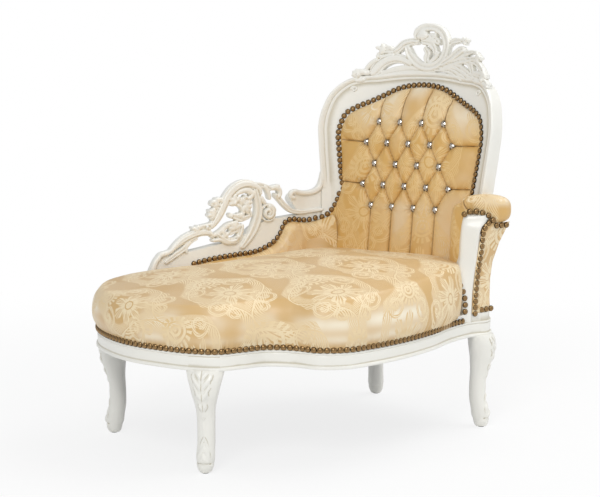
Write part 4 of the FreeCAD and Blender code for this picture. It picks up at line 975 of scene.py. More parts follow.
def make_lacquer():
    """Warm white satin lacquer with painted shade in the hollows of the carving."""
    look = Look("ivory_lacquer")
    hollow = look.kept("hollow")
    brush = look.noise(120.0, 4.0)
    grain = look.noise(38.0, 2.0)
    clouds = look.ramp(look.noise(7.0, 3.0), 0.3, 0.75, 0.0, 0.35)
    tone = look.blend(clouds, settings().lacquer, (0.87, 0.85, 0.78))
    # Painted shade in the hollows of the carving, broken up by the brush noise
    tone = look.blend(look.ramp(hollow + (brush - 0.5) * 0.2, 0.12, 0.9, 0.0, 0.85), tone, settings().hollow_shade)
    return look.paint(
        Base_Color=tone, Roughness=look.ramp(grain, 0.3, 0.7, 0.30, 0.40) + hollow * 0.2,
        Normal=look.bump(brush * 0.5 + grain, 0.10, 0.0008), Coat_Weight=0.15, Coat_Roughness=0.2)


def make_brass():
    """Antique brass, with painted dark reflections and shadow towards the rim."""
    look = Look("antique_brass")
    rim = look.kept("rim")
    spots = look.noise(420.0, 3.0)
    # Painted reflection and shadow darken the brass towards the rim, broken up by noise
    dark = look.ramp(rim + (spots - 0.5) * 0.5, 0.35, 0.95)
    return look.paint(
        Base_Color=look.blend(dark, settings().brass, (0.018, 0.010, 0.005)), Metallic=0.90,
        Roughness=look.ramp(spots, 0.3, 0.7, 0.22, 0.36) + rim * 0.2,
        Normal=look.bump(look.noise(700.0, 2.0), 0.2, 0.0004))


def make_crystal():
    """Foiled cut glass whose facets carry painted reflections, some pale and some dark."""
    look = Look("cut_crystal")
    # Painted reflections: each facet is tinted dark or pale by its kept value
    return look.paint(
        Base_Color=look.blend(look.kept("facet_reflection"), (0.090, 0.052, 0.026), (0.92, 0.89, 0.83)), Metallic=0.35,
        Roughness=look.ramp(look.noise(600.0, 1.0), 0.2, 0.8, 0.02, 0.07),
        Coat_Weight=0.4, Coat_Roughness=0.02, Specular_IOR_Level=0.5)


def make_plain(name, first, second, scale, roughness, metallic=0.0, bump=0.2, stretch=(1, 1, 1)):
    """A plain grained or woven finish."""
    look = Look(name)
    where = look.node("ShaderNodeMapping", Vector=look.place(), Scale=stretch).outputs[0]
    grain = look.noise(scale, 4.0, where)
    fine = look.noise(scale * 7, 2.0, where)
    return look.paint(
        Base_Color=look.blend(look.ramp(grain, 0.3, 0.7), first, second), Metallic=metallic,
        Roughness=look.ramp(fine, 0.3, 0.7, roughness - 0.05, roughness + 0.07),
        Normal=look.bump(grain + fine * 0.5, bump, 0.0006))


MADE_LOOKS = {"cloth": make_cloth, "lacquer": make_lacquer, "nail": make_brass, "crystal": make_crystal}
# Name, two colours, scale of the grain, roughness, and where they differ metallic, bump and stretch
PLAIN_LOOKS = {
    "wood": ("bare_beech", (0.42, 0.25, 0.12), (0.55, 0.36, 0.19), 30.0, 0.55, 0.0, 0.2, (0.25, 1, 1)),
    "steel": ("zinc_steel", (0.45, 0.45, 0.46), (0.62, 0.62, 0.62), 300.0, 0.35, 1.0),
    "glide": ("black_plastic", (0.018, 0.018, 0.018), (0.03, 0.03, 0.03), 400.0, 0.45),
    "dust": ("dust_cloth", (0.012, 0.012, 0.013), (0.03, 0.03, 0.032), 900.0, 0.85),
    "jute": ("jute", (0.30, 0.20, 0.10), (0.45, 0.32, 0.17), 500.0, 0.85, 0.0, 0.5),
    "nickel": ("nickel", (0.17, 0.125, 0.075), (0.27, 0.21, 0.14), 500.0, 0.24, 1.0, 0.05),
}
LOOKS = {}


def look_of(name):
    """A material by name, made once."""
    if name not in LOOKS:
        LOOKS[name] = MADE_LOOKS[name]() if name in MADE_LOOKS else make_plain(*PLAIN_LOOKS[name])
    return LOOKS[name]


class CHAISE_OT_stage(bpy.types.Operator):
    """Adds the floor, the lights and the camera of the photograph"""

    bl_idname = "chaise.stage"
    bl_label = "Stage"

    def execute(self, context):
        bpy.ops.object.select_all(action="DESELECT")
        bpy.ops.mesh.primitive_circle_add(vertices=96, radius=FLOOR_RADIUS, fill_type="NGON")
        floor = context.object
        floor.name = "floor"
        floor.data.materials.append(self.floor_look())
        world = bpy.data.worlds.new("studio")
        context.scene.world = world
        world.use_nodes = True
        sky = Sheet(world.node_tree)
        seen = sky.seen_by("Is Camera Ray", "Is Transmission Ray")
        soft = sky.node("ShaderNodeBackground", Color=(0.96, 0.98, 1.0), Strength=0.50)
        white = sky.node("ShaderNodeBackground", Color=(1, 1, 1), Strength=1.0)
        either = sky.node("ShaderNodeMixShader", i0=seen, i1=soft.outputs[0], i2=white.outputs[0])
        sky.node("ShaderNodeOutputWorld", Surface=either.outputs[0])
        for name, spot, aim, size, power in LIGHTS:
            lamp = bpy.data.lights.new(name, "AREA")
            lamp.shape = "RECTANGLE"
            lamp.size, lamp.size_y = size
            lamp.energy = power
            holder = placed(name, lamp)
            holder.location = spot
            holder.rotation_euler = (Vector(aim) - Vector(spot)).to_track_quat("-Z", "Y").to_euler()
        lens = bpy.data.cameras.new("camera")
        lens.sensor_width = CAMERA_SENSOR
        lens.lens = CAMERA_LENS
        lens.clip_end = CAMERA_FAR
        camera = placed("camera", lens)
        camera.location = Vector(CAMERA_PLACE) + Vector(MIDDLE)
        camera.rotation_euler = [math.radians(angle) for angle in CAMERA_TURN]
        context.scene.camera = camera
        context.scene.view_settings.view_transform = "Standard"
        return {"FINISHED"}

    def floor_look(self):
        """A pale floor that goes over to white away from the object."""
        look = Look("pale_floor")
        look.paint(Base_Color=(0.93, 0.93, 0.925), Roughness=look.ramp(look.noise(3.0), 0.2, 0.8, 0.85, 0.95),
                   Specular_IOR_Level=0.1)
        seen = look.seen_by("Is Camera Ray", "Is Glossy Ray")
        glow = look.node("ShaderNodeEmission", Color=(1, 1, 1), Strength=1.0)
        away = look.node("ShaderNodeVectorMath", {"operation": "LENGTH"}, i0=look.place()).outputs["Value"]
        share = seen * look.ramp(away, 0.7, 2.6, 0.80, 1.0)
        both = look.node("ShaderNodeMixShader", i0=share, i1=look.shader.outputs[0], i2=glow.outputs[0])
        look.feed(look.end.inputs[0], both.outputs[0])
        return look.material


def rail_sweep(name, start, end, rows):
    """A length of the seat frame's moulding between two shares of its outer line."""
    profile = np.array(RAIL_PROFILE + RAIL_PROFILE[:1], float)
    index = np.arange(len(profile))

    def place(u, v):
        share = start + (end - start) * v
        off, z = (np.interp(u * (len(profile) - 1), index, column) for column in profile.T)
        spot = SEAT_LINE.at(share)[:, :2] + outward(SEAT_LINE.heading(share)) * off[:, None]
        return np.column_stack([spot, z])

    return sealed(formed(name, len(profile) - 1, rows, place))


def leg_frame(name):
    """Ground point, outward way and splay of a leg."""
    side_x, side_y, angle, splay = LEGS[name]
    ground = np.array([side_x * FOOT_SPACING[0] / 2, side_y * FOOT_SPACING[1] / 2])
    way = np.array([math.cos(math.radians(angle)), math.sin(math.radians(angle))])
    return ground, way, splay


def head_share(name):
    """Share of the seat's outer line at the middle of a leg's head."""
    ground, way, splay = leg_frame(name)
    line = SEAT_LINE.line[:, :2]
    rel = line - (ground - way * splay)
    off = np.abs(rel @ np.array([-way[1], way[0]])) + np.where(rel @ way > 0, 0, 1e4)
    return SEAT_LINE.key[int(off.argmin())]


class CHAISE_OT_seat_rails(bpy.types.Operator):
    """Sweeps the moulded rails of the seat frame between the legs"""

    bl_idname = "chaise.seat_rails"
    bl_label = "Seat rails"

    def execute(self, context):
        for node, after, before, rows in (
                ("seat_rail_foot", "leg_foot_rear", "leg_foot_front", 90),
                ("seat_rail_front", "leg_foot_front", "leg_head_front", 170),
                ("seat_rail_head", "leg_head_front", "leg_head_rear", 80),
                ("seat_rail_rear", "leg_head_rear", "leg_foot_rear", 110)):
            start = head_share(after) + HEAD_SHARE
            end = head_share(before) - HEAD_SHARE
            lacquered(rail_sweep("carved_" + node, start, end + (end < start), rows), node, 1.2, 35)
        return {"FINISHED"}


def leaf_relief(across, z):
    """Height of the carving on a leg: the leaf on the knee, its drop, a ridge, the toe and two eyes."""
    wide = np.abs(across)
    leaf_half = np.interp(z, *LEAF_HALF)
    leaf_half = leaf_half + 2.0 * np.cos(2 * math.pi * (z - 6) / LEAF_PITCH)
    chevrons = 0.5 + 0.5 * np.cos(2 * math.pi * (z - 1.25 * wide) / LEAF_PITCH)
    leaf = grow(leaf_half - wide, 0, 3.0) * (1.0 + 3.1 * chevrons ** 1.6) * grow(z, 264, -6)
    leaf = leaf * (1 - 0.7 * grow(wide, 2.2, -2.2))
    drop = np.exp(-((across / 5.5) ** 2 + ((z - 148) / 10.0) ** 2)) * 2.6
    ridge = 0.9 * bell(across, 3.5) * grow(z, 90, 12) * grow(z, 140, -10)
    foot_half = np.interp(z, *TOE_HALF)
    foot = grow(foot_half - wide, 0, 2.5) * grow(z, 27, 4)
    toe = foot * (1.0 + 1.9 * (0.5 + 0.5 * np.cos(2 * math.pi * (z + 1.3 * wide) / TOE_PITCH)) ** 1.4)
    eye = -3.0 * np.exp(-((wide - 16.5) ** 2 + (z - 26) ** 2) / 6.0)
    return leaf + drop + ridge + toe + eye


class CHAISE_OT_legs(bpy.types.Operator):
    """Models the four cabriole legs with their carved knees and feet"""

    bl_idname = "chaise.legs"
    bl_label = "Legs"

    def execute(self, context):
        table = Track([(row[0], 0, *row[1:]) for row in LEG_SECTIONS]).line
        low, high = LEG_SECTIONS[0][0], LEG_SECTIONS[-1][0]
        for node in LEGS:
            ground, way, splay = leg_frame(node)
            across = np.array([-way[1], way[0]])

            def place(u, v):
                z = low + (high - low) * v
                inner, outer, width = read_at(z, table, 2, 5)
                centre = (inner + outer) / 2
                cos, sin = np.cos(2 * math.pi * u), np.sin(2 * math.pi * u)
                power = np.where(cos > 0, 2 / 1.78, 2 / 2.15)
                out = bowed(cos, power) * (outer - centre)
                off = bowed(sin, power) * width
                lift = leaf_relief(off, z) * grow(cos, 0.05, 0.35)
                size = np.sqrt(out ** 2 + off ** 2) + 1e-6
                out, off = out + lift * out / size, off + lift * off / size
                step = np.where(z < 24.5, -1.0, 0.0) * grow(z, 12, 8)
                middle = ground - way * (splay * z / RAIL_BOTTOM)[:, None]
                spot = middle + way * (centre + out + step * cos)[:, None] + across * off[:, None]
                return np.column_stack([spot, z])

            shaft = sealed(formed(node + "_shaft", 96, 190, place))
            at = head_share(node)
            head = rail_sweep(node + "_head", at - HEAD_SHARE, at + HEAD_SHARE, 26)
            lacquered(joined("carved_" + node, [shaft, head]), node, 0.45, 50)
        return {"FINISHED"}


class CHAISE_OT_rail_dowels(bpy.types.Operator):
    """Turns the dowels of the seat frame's joints, two in each, along the line of their rail"""

    bl_idname = "chaise.rail_dowels"
    bl_label = "Rail dowels"

    def execute(self, context):
        seats = []
        for node in LEGS:
            at = head_share(node)
            for share in (at - HEAD_SHARE, at + HEAD_SHARE):
                way = SEAT_LINE.heading(share)
                spot = SEAT_LINE.at(share)[:2] - outward(way) * RAIL_WIDTH / 2
                for z in DOWEL_HEIGHTS:
                    seats.append((Vector(np.array([*spot, z]) * MM + MIDDLE), Vector((*way, 0.0))))
        dowel = cylinder(16, DOWEL_RADIUS, DOWEL_LENGTH)
        applied(dowel, "BEVEL", width=DOWEL_BEVEL * MM, segments=2, limit_method="ANGLE")
        shape = read_pattern(dowel)
        piece = set_on("beech_rail_dowels", seats, shape, [0.0] * len(shape[0]), "rim")
        finished(piece, "wood", ["rail_dowels"], 40)
        return {"FINISHED"}


class CHAISE_OT_glides(bpy.types.Operator):
    """Models the round glides under the feet"""

    bl_idname = "chaise.glides"
    bl_label = "Glides"

    def execute(self, context):
        discs = []
        for node in LEGS:
            ground = leg_frame(node)[0] * MM + MIDDLE[:2]
            disc = cylinder(32, GLIDE_RADIUS, GLIDE_HEIGHT, location=(*ground, GLIDE_HEIGHT / 2 * MM))
            bpy.ops.object.transform_apply(location=True, rotation=True, scale=True)
            applied(disc, "BEVEL", width=GLIDE_BEVEL * MM, segments=2, limit_method="ANGLE")
            discs.append(disc)
        finished(joined("felt_glides", discs), "glide", ["foot_glides"], 35)
        return {"FINISHED"}


class CHAISE_OT_seat_cushion(bpy.types.Operator):
    """Shapes the crowned seat with its drawn in sides and the dart at its front corner"""

    bl_idname = "chaise.seat_cushion"
    bl_label = "Seat cushion"

    def execute(self, context):
        line = Track(CUSHION_FREE + CUSHION_COVERED, closed=True)
        table = Track([(row[0], row[2], row[1], row[3]) for row in CUSHION_SIDE]).line
        floor, top = CUSHION_SIDE[0][0], CUSHION_SIDE[-1][0]
        dart = line.nearest(CUSHION_DART)

        def place(u, v):
            edge = line.at(u)
            free = edge[:, 2]
            z = floor + (top - floor) * grow(v, 0, CUSHION_SPLIT)
            bulge_free, slope, bulge_covered = read_at(z, table, 1, 4)
            bulge = bulge_free * free + bulge_covered * (1 - free)
            pulls = 0.5 - 0.5 * np.cos(2 * math.pi * u * line.length / NAIL_PITCH)
            bulge = bulge + 1.3 * pulls * grow(z, 352, -34) ** 1.6 * free * (z > 314)
            pull = bell((u - dart) * line.length, 2.2) * grow(z, 350, -30)
            bulge = bulge - 3.0 * pull * free
            high = grow(v, CUSHION_SPLIT, 1 - CUSHION_SPLIT)
            share = 1 - high
            spot = edge[:, :2] + outward(line.heading(u, 0.004)) * bulge[:, None]
            spot = CUSHION_HEART + (spot - CUSHION_HEART) * share[:, None]
            rise = CROWN_RISE * (1 - share ** 2.6)
            tilt = slope + np.where(high > 0, 0.015 * (1 - share ** 2), 0)
            height = z + rise + tilt * (spot[:, 0] - CUSHION_PIVOT)
            drape = (top - z) * 1.02
            broad = outward(line.heading(u, 0.045))
            cloth = spot + broad * drape[:, None] * (high <= 0)[:, None]
            return np.column_stack([spot, height]), cloth

        piece = formed("seat_cushion", 1200, 90, place)
        x, y, z = ((points_of(piece) - MIDDLE) / MM).T
        gap = np.hypot(x - line.at(dart)[0], y - line.at(dart)[1])
        # Painted shade along the dart, and a painted shadow along the nails at the foot of the side
        mark(piece, "crease_shade", np.maximum(grow(gap, 3.0, -3.0) * (z < 346), grow(z, 315, -6) * 0.5))
        # Painted highlight along the rounded front of the seat and its lower bulge, and faintly over the top
        shoulder_highlight = bell(z - 376, 24) + 0.7 * bell(z - 334, 13)
        mark(piece, "painted_highlight", np.clip(shoulder_highlight + 0.12 * (z > 400), 0, 1))
        sealed(piece)
        finished(piece, "cloth", ["seat_cover", "seat_foam"], 60)
        return {"FINISHED"}


def hoop_part(name, start, end, rows, fading):
    """A length of the back's moulded frame between two shares of its edges; its bead may fade low down."""
    outer, inner = (Track(mirrored(edge), by_length=False) for edge in (BACK_OUTER, BACK_INNER))
    closing = [(0, 0.0, 1.0), (0, -FRAME_THICKNESS, 1.0), (*FRAME_PROFILE[0], 0.0)]
    profile = np.array([(*point, 0.0) for point in FRAME_PROFILE] + closing)
    count = len(profile) - 1

    def place(u, v):
        share = start + (end - start) * v
        a, b = outer.at(share), inner.at(share)
        width = np.linalg.norm(b - a, axis=1)
        way = (b - a) / width[:, None]
        base, proud, far = (np.interp(u * count, np.arange(count + 1), column) for column in profile.T)
        off = base + far * width
        off = np.where(far > 0, np.minimum(off, width), off)
        spot = a + way * off[:, None]
        if fading:
            proud = np.where(proud > 0, proud * np.clip((spot[:, 1] - 318) / 26, 0.02, 1), proud)
        return on_back(spot[:, 0], spot[:, 1], proud)

    return sealed(formed(name, count, rows, place))


class CHAISE_OT_back_frame(bpy.types.Operator):
    """Sweeps the moulded stiles and top rail of the back"""

    bl_idname = "chaise.back_frame"
    bl_label = "Back frame"

    def execute(self, context):
        outer = Track(mirrored(BACK_OUTER), by_length=False)
        half = outer.line[: len(outer.line) // 2]
        joint = float(np.interp(JOINT_HEIGHT, half[:, 1], outer.key[: len(half)]))
        for node, start, end, rows in (
                ("back_stile_left", 0.03, joint, 110), ("back_top_rail", joint, 1 - joint, 150),
                ("back_stile_right", 1 - joint, 0.97, 110)):
            fading = node == "back_stile_left"
            lacquered(hoop_part("carved_" + node, start, end, rows, fading), node, 1.2, 35)
        return {"FINISHED"}


def button_rows():
    """Places of the buttons on the back, row by row from the top."""
    rows = []
    for i, count in enumerate(BUTTON_ROWS):
        h = BUTTON_TOP_ROW - i * BUTTON_ROW_PITCH
        rows.append([((j - (count - 1) / 2) * BUTTON_PITCH, h) for j in range(count)])
    return rows


def pleat_lines():
    """The pleats of the back and how dark the painted shade along each is drawn: between buttons, and from
    them to the edges.
    """
    rows = button_rows()
    lines = []
    for upper, lower in zip(rows, rows[1:]):
        lines += [(a, b, 0.50) for a in upper for b in lower if abs(a[0] - b[0]) < BUTTON_PITCH]
    lines += [((s, h), (s * 1.06, 640 - abs(s) * 0.3), 0.95) for s, h in rows[0]]
    lines += [((s, h), (s, h - 300), 0.95) for s, h in rows[-1]]
    for row in (rows[1], rows[3]):
        for button, edge in ((row[0], -260), (row[-1], 260)):
            lines.append((button, (edge, row[0][1] + 5), 0.95))
    return lines


def edge_gap(s, h, ring):
    """Distance to a line and the nearest place on it."""
    best = np.full(len(s), 1e9)
    near = np.zeros((len(s), 2))
    for a, b in zip(ring, ring[1:]):
        gap, px, py = to_segment(s, h, a, b)
        closer = gap < best
        best[closer] = gap[closer]
        near[closer, 0], near[closer, 1] = px[closer], py[closer]
    return best, near


def backed(piece, keep, shift):
    """Deletes the faces outside a padded panel, carries its border back by a shift and closes the rear."""
    work = bmesh.new()
    work.from_mesh(piece.data)
    work.verts.ensure_lookup_table()
    gone = [face for face in work.faces if not all(keep[point.index] for point in face.verts)]
    bmesh.ops.delete(work, geom=gone, context="FACES")
    bmesh.ops.delete(work, geom=[point for point in work.verts if not point.link_faces], context="VERTS")
    made = bmesh.ops.extrude_edge_only(work, edges=[edge for edge in work.edges if edge.is_boundary])
    for item in made["geom"]:
        if isinstance(item, bmesh.types.BMVert):
            item.co += Vector(shift)
    border = [edge for edge in work.edges if edge.is_boundary]
    bmesh.ops.triangle_fill(work, use_beauty=True, edges=border)
    bmesh.ops.recalc_face_normals(work, faces=work.faces)
    work.to_mesh(piece.data)
    work.free()


class CHAISE_OT_back_pad(bpy.types.Operator):
    """Shapes the deeply tufted pad of the back with its pleats"""

    bl_idname = "chaise.back_pad"
    bl_label = "Tufted back"

    def execute(self, context):
        right = Track(PAD_LINE).line
        left = Track(PAD_LINE_SIDE + [PAD_LINE[-1]]).line
        ring = np.vstack([left, right[::-1][1:]])[::3]
        way = np.gradient(ring, axis=0)
        across = PAD_SEAM * np.column_stack([-way[:, 1], way[:, 0]])
        ring = ring + across / np.linalg.norm(way, axis=1)[:, None]
        peak = int(ring[:, 1].argmax())
        left, right = ring[: peak + 1], ring[peak:][::-1]
        low, high = PAD_SIDES
        crown = np.array(PAD_CROWN, float)
        depth = settings().tuft / MM
        kept = {}

        def folds(s, h):
            """Distance to the pleats and to the buttons, how dark the painted shade along the pleats is
            drawn, and the gathers.
            """
            pleat, button = np.full(len(s), 1e9), np.full(len(s), 1e9)
            drawn, gather = np.zeros(len(s)), np.zeros(len(s))
            for a, b, strength in pleat_lines():
                away = to_segment(s, h, a, b)[0]
                pleat = np.minimum(pleat, away)
                drawn = np.maximum(drawn, bell(away, PLEAT_HALF) * strength)
            for bs, bh in sum(button_rows(), []):
                away = np.hypot(s - bs, h - bh)
                turn = np.arctan2(s - bs, h - bh)
                button = np.minimum(button, away)
                gather += np.cos(turn * 11 + 0.13 * bs + 0.2 * bh) * bell(away - 16, 7.0) * 0.85
                gather += np.cos(turn * 7 - 0.1 * bs) * bell(away - 25, 9.0) * 0.6
            return pleat, button, drawn, gather

        def place(u, v):
            s = low + (high - low) * u
            h = PAD_FOOT + PAD_HEIGHT * v
            gap, near = edge_gap(s, h, ring)
            within = (s < np.interp(h, right[:, 1], right[:, 0])) & (s > np.interp(h, left[:, 1], left[:, 0]))
            gap = np.where(within & (h < ring[peak, 1]), gap, -gap)
            snap = np.abs(gap) < PAD_CELL * 0.62
            s = np.where(snap, near[:, 0], s)
            h = np.where(snap, near[:, 1], h)
            gap = np.where(snap, 0.0, gap)
            kept["inside"] = gap >= 0
            inner = np.clip(gap, 0, None)
            front = 5 * (s / 205) ** 2 - np.interp(h, crown[:, 0], crown[:, 1]) - 3.0
            face = np.sqrt(BACK_RADIUS ** 2 - np.minimum(np.abs(s), 300) ** 2) - BACK_RADIUS
            y = face + (front - face) * rounded(inner, PAD_ROLL, 2.2, 0.55)
            pleat, button, drawn, gather = folds(s, h)
            puff = 1 - np.sqrt(1 - (1 - grow(pleat, 0, PUFF_REACH)) ** 2)
            inset = depth * (0.80 * puff + 0.10 * bell(button, 17.0)) + gather + bell(pleat, PLEAT_HALF)
            wander = np.sin(s * 0.13 + h * 0.05) * np.sin(h * 0.11 - s * 0.04) * 0.5
            y = y + (inset + wander) * grow(inner, 0, 14.0)
            y = np.minimum(y, face - 2.0 * grow(inner, 0, 4.0))
            # Painted shade along the pleats, in a tight ring and a wider pool round each button
            crease_shade = np.maximum(drawn, bell(pleat, 8.0) * 0.24)
            crease_shade = np.maximum(crease_shade, np.exp(-(button / 11.5) ** 4) * 0.85)
            crease_shade = np.maximum(crease_shade, bell(button, 19.0) * 0.60)
            # Painted highlight on the tops of the puffs, strongest towards the top of the pad
            kept["painted_highlight"] = (1 - puff) ** 2 * (0.45 + 0.55 * grow(h, 490, 70))
            # Painted shade over the pad, lighter towards its top
            kept["painted_shade"] = 0.95 - 0.55 * grow(h, 470, 110)
            # The painted shade of the pleats fades out at the pad's edge, where a band of painted shade runs
            # along the seam
            kept["crease_shade"] = np.maximum(crease_shade * grow(inner, 0, 6.0), np.exp(-inner / 3.0) * 0.35)
            return back_place(s, y, h), np.column_stack([s, h])

        piece = formed("tufted_back_pad", int((high - low) / PAD_CELL), int(PAD_HEIGHT / PAD_CELL), place)
        for key in ("crease_shade", "painted_highlight", "painted_shade"):
            mark(piece, key, kept[key])
        behind = back_place(np.zeros(2), np.array([0.0, 6.0]), np.zeros(2))
        backed(piece, kept["inside"], (behind[1] - behind[0]) * MM)
        finished(piece, "cloth", ["back_pad", "back_foam"], 80)
        return {"FINISHED"}


class CHAISE_OT_crystal_buttons(bpy.types.Operator):
    """Models one cut crystal and its ring, and sets a copy on each button's seat"""

    bl_idname = "chaise.crystal_buttons"
    bl_label = "Crystal buttons"

    def execute(self, context):
        seats = seats_of("button_crystals")
        gem = cylinder(8, CRYSTAL_RADIUS, CRYSTAL_GIRDLE, end_fill_type="NGON",
                       location=(0, 0, CRYSTAL_GIRDLE / 2 * MM))
        bpy.ops.object.transform_apply(location=True)
        work = bmesh.new()
        work.from_mesh(gem.data)
        top = [face for face in work.faces if face.normal.z > 0.9]
        for width, rise in CRYSTAL_FACETS:
            bmesh.ops.inset_region(work, faces=top, thickness=width * MM, depth=rise * MM)
        bmesh.ops.triangulate(work, faces=[face for face in work.faces if 0.05 < face.normal.z < 0.95])
        spots, faces, lights = [], [], []
        for order, face in enumerate(work.faces, 1):
            faces.append(tuple(range(len(spots), len(spots) + len(face.verts))))
            spots += [tuple(point.co) for point in face.verts]
            # Each side facet gets a painted reflection, pale or dark, and the flat table a middling one
            light = PAINTED_FACET_LIGHTS[order * 5 % len(PAINTED_FACET_LIGHTS)] if face.normal.z < 0.97 else PAINTED_TABLE_LIGHT
            lights += [light] * len(face.verts)
        work.free()
        bpy.data.objects.remove(gem)
        piece = set_on("cut_crystals", seats, (spots, faces), lights, "facet_reflection")
        piece.data.materials.append(look_of("crystal"))
        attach(piece, "root")
        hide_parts("button_crystals")
        bpy.ops.object.select_all(action="DESELECT")
        bpy.ops.mesh.primitive_torus_add(major_segments=20, minor_segments=6, major_radius=RING_RADII[0] * MM,
                                         minor_radius=RING_RADII[1] * MM)
        ring = context.object
        for point in ring.data.vertices:
            point.co.z = point.co.z * 1.25 - 1.0 * MM
        shape = read_pattern(ring)
        rings = set_on("crystal_rings", seats, shape, [0.0] * len(shape[0]), "rim")
        finished(rings, "nickel", ["button_settings"], 60)
        return {"FINISHED"}


def nail_pattern():
    """Points, faces and painted shade of one domed nail, darker towards its rim."""
    spots = [(0.0, 0.0, NAIL_RINGS[0][1] * MM)]
    faces = []
    rim_shades = [NAIL_PAINTED_SHADES[0]]
    for level, (radius, height) in enumerate(NAIL_RINGS[1:]):
        for k in range(NAIL_SIDES):
            turn = 2 * math.pi * k / NAIL_SIDES
            spots.append((radius * MM * math.cos(turn), radius * MM * math.sin(turn), height * MM))
            rim_shades.append(NAIL_PAINTED_SHADES[level + 1])
            here, ahead = 1 + level * NAIL_SIDES + k, 1 + level * NAIL_SIDES + (k + 1) % NAIL_SIDES
            inner = (ahead - NAIL_SIDES,) if level else ()
            faces.append((max(here - NAIL_SIDES, 0), here, ahead, *inner))
    faces.append(tuple(range(len(spots) - 1, len(spots) - 1 - NAIL_SIDES, -1)))
    return (spots, faces), rim_shades


def head_facing(spot):
    """The nails of the arm's head turn from the front towards the outside."""
    share = (spot[0] - 377) / 54
    return (-0.6 + 0.5 * share, -0.8, 0.0)


def turned_in(seats):
    """Moves the side's last nails with its face, which turns in to meet the stile."""
    moved = []
    for middle, axis in seats:
        x, y, z = (np.array(middle) - MIDDLE) / MM
        moved.append((middle - Vector((0, float(side_turn(x, z)) * MM, 0)), axis))
    return moved


class CHAISE_OT_nails(bpy.types.Operator):
    """Models one domed nail and sets a copy on each seat of the nails"""

    bl_idname = "chaise.nails"
    bl_label = "Nails"

    def execute(self, context):
        pattern, rim_shades = nail_pattern()
        turn_line = [on_back(np.array([s]), np.array([h]), 0.5)[0] for s, h in SIDE_TURN_NAILS]
        turn_line.append(np.array(LAST_TURN_NAIL))
        into_room = back_place(np.zeros(2), np.array([0.0, -1.0]), np.zeros(2))
        facing = into_room[1] - into_room[0] + np.array([0.25, -0.55, 0.0])
        more = {
            "back_nails": row_seats(turn_line, lambda spot: facing),
            "arm_nails": row_seats(HEAD_NAILS, head_facing),
        }
        for node in ("seat_nails", "back_nails", "back_rear_nails", "side_nails", "arm_nails"):
            seats = seats_of(node)
            if node == "side_nails":
                seats = turned_in(seats)
            piece = set_on("brass_" + node, seats + more.get(node, []), pattern, rim_shades, "rim")
            finished(piece, "nail", [node], 60)
        return {"FINISHED"}


class CHAISE_OT_arm_post(bpy.types.Operator):
    """Shapes the curved post of the arm with its broad head"""

    bl_idname = "chaise.arm_post"
    bl_label = "Arm post"

    def execute(self, context):
        table = Track([(z, 0, *a, *b, *back) for z, a, b, back in POST_SECTIONS]).line

        low, high = POST_SECTIONS[0][0], POST_SECTIONS[-1][0]

        def place(u, v):
            climb = v * (1 + POST_CAP)
            z = low + (high - low) * np.minimum(climb, 1)
            ax, ay, bx, by, dx, dy = read_at(z, table, 2, 8)
            cap = grow(climb, 1, POST_CAP)
            shrink = 1 - 0.06 * cap ** 1.5 - 0.05 * grow(z, 584, 4)
            p = bowed(np.cos(2 * math.pi * u), 0.30) * shrink
            q = bowed(np.sin(2 * math.pi * u), 0.30) * shrink
            bow = 1.6 * (1 - p ** 2) * np.clip(-q, 0, 1)
            x = (ax + bx + dx) / 2 + p * (bx - ax) / 2 + q * dx / 2
            y = (ay + by + dy) / 2 + p * (by - ay) / 2 + q * dy / 2 - bow
            z = z + grow(z, 560, 28) * (3.4 * q + 2.0 * p) + cap * 1.6
            return np.column_stack([x, y, z])

        lacquered(sealed(formed("carved_arm_post", 96, 150, place)), "arm_post", 1.2, 40)
        return {"FINISHED"}


def stuffed(name, plan, low, high, power, lean, columns, rows, dress):
    """A closed stuffed form over a plan; dress(spots, out, share) moves its points and gives their painted
    shade.
    """
    track = Track(plan, closed=True)
    heart = np.array(plan, float).mean(axis=0)
    kept = {}

    def place(u, v):
        t = -np.cos(math.pi * v)
        z = (low + high) / 2 + (high - low) / 2 * np.sign(t) * np.abs(t) ** 0.9
        share = np.clip(1 - np.abs(t) ** power, 0, 1) ** (1 / power)
        spot = heart + (track.at(u) - heart) * share[:, None]
        spots = np.column_stack([spot[:, 0] + lean * (z - low), spot[:, 1], z])
        spots, kept["crease_shade"] = dress(spots, outward(track.heading(u, 0.01)), share)
        return spots, np.column_stack([u * track.length, z + 70 * (t > 0) * (1 - share)])

    piece = formed(name, columns, rows, place)
    mark(piece, "crease_shade", kept["crease_shade"])
    return sealed(piece)


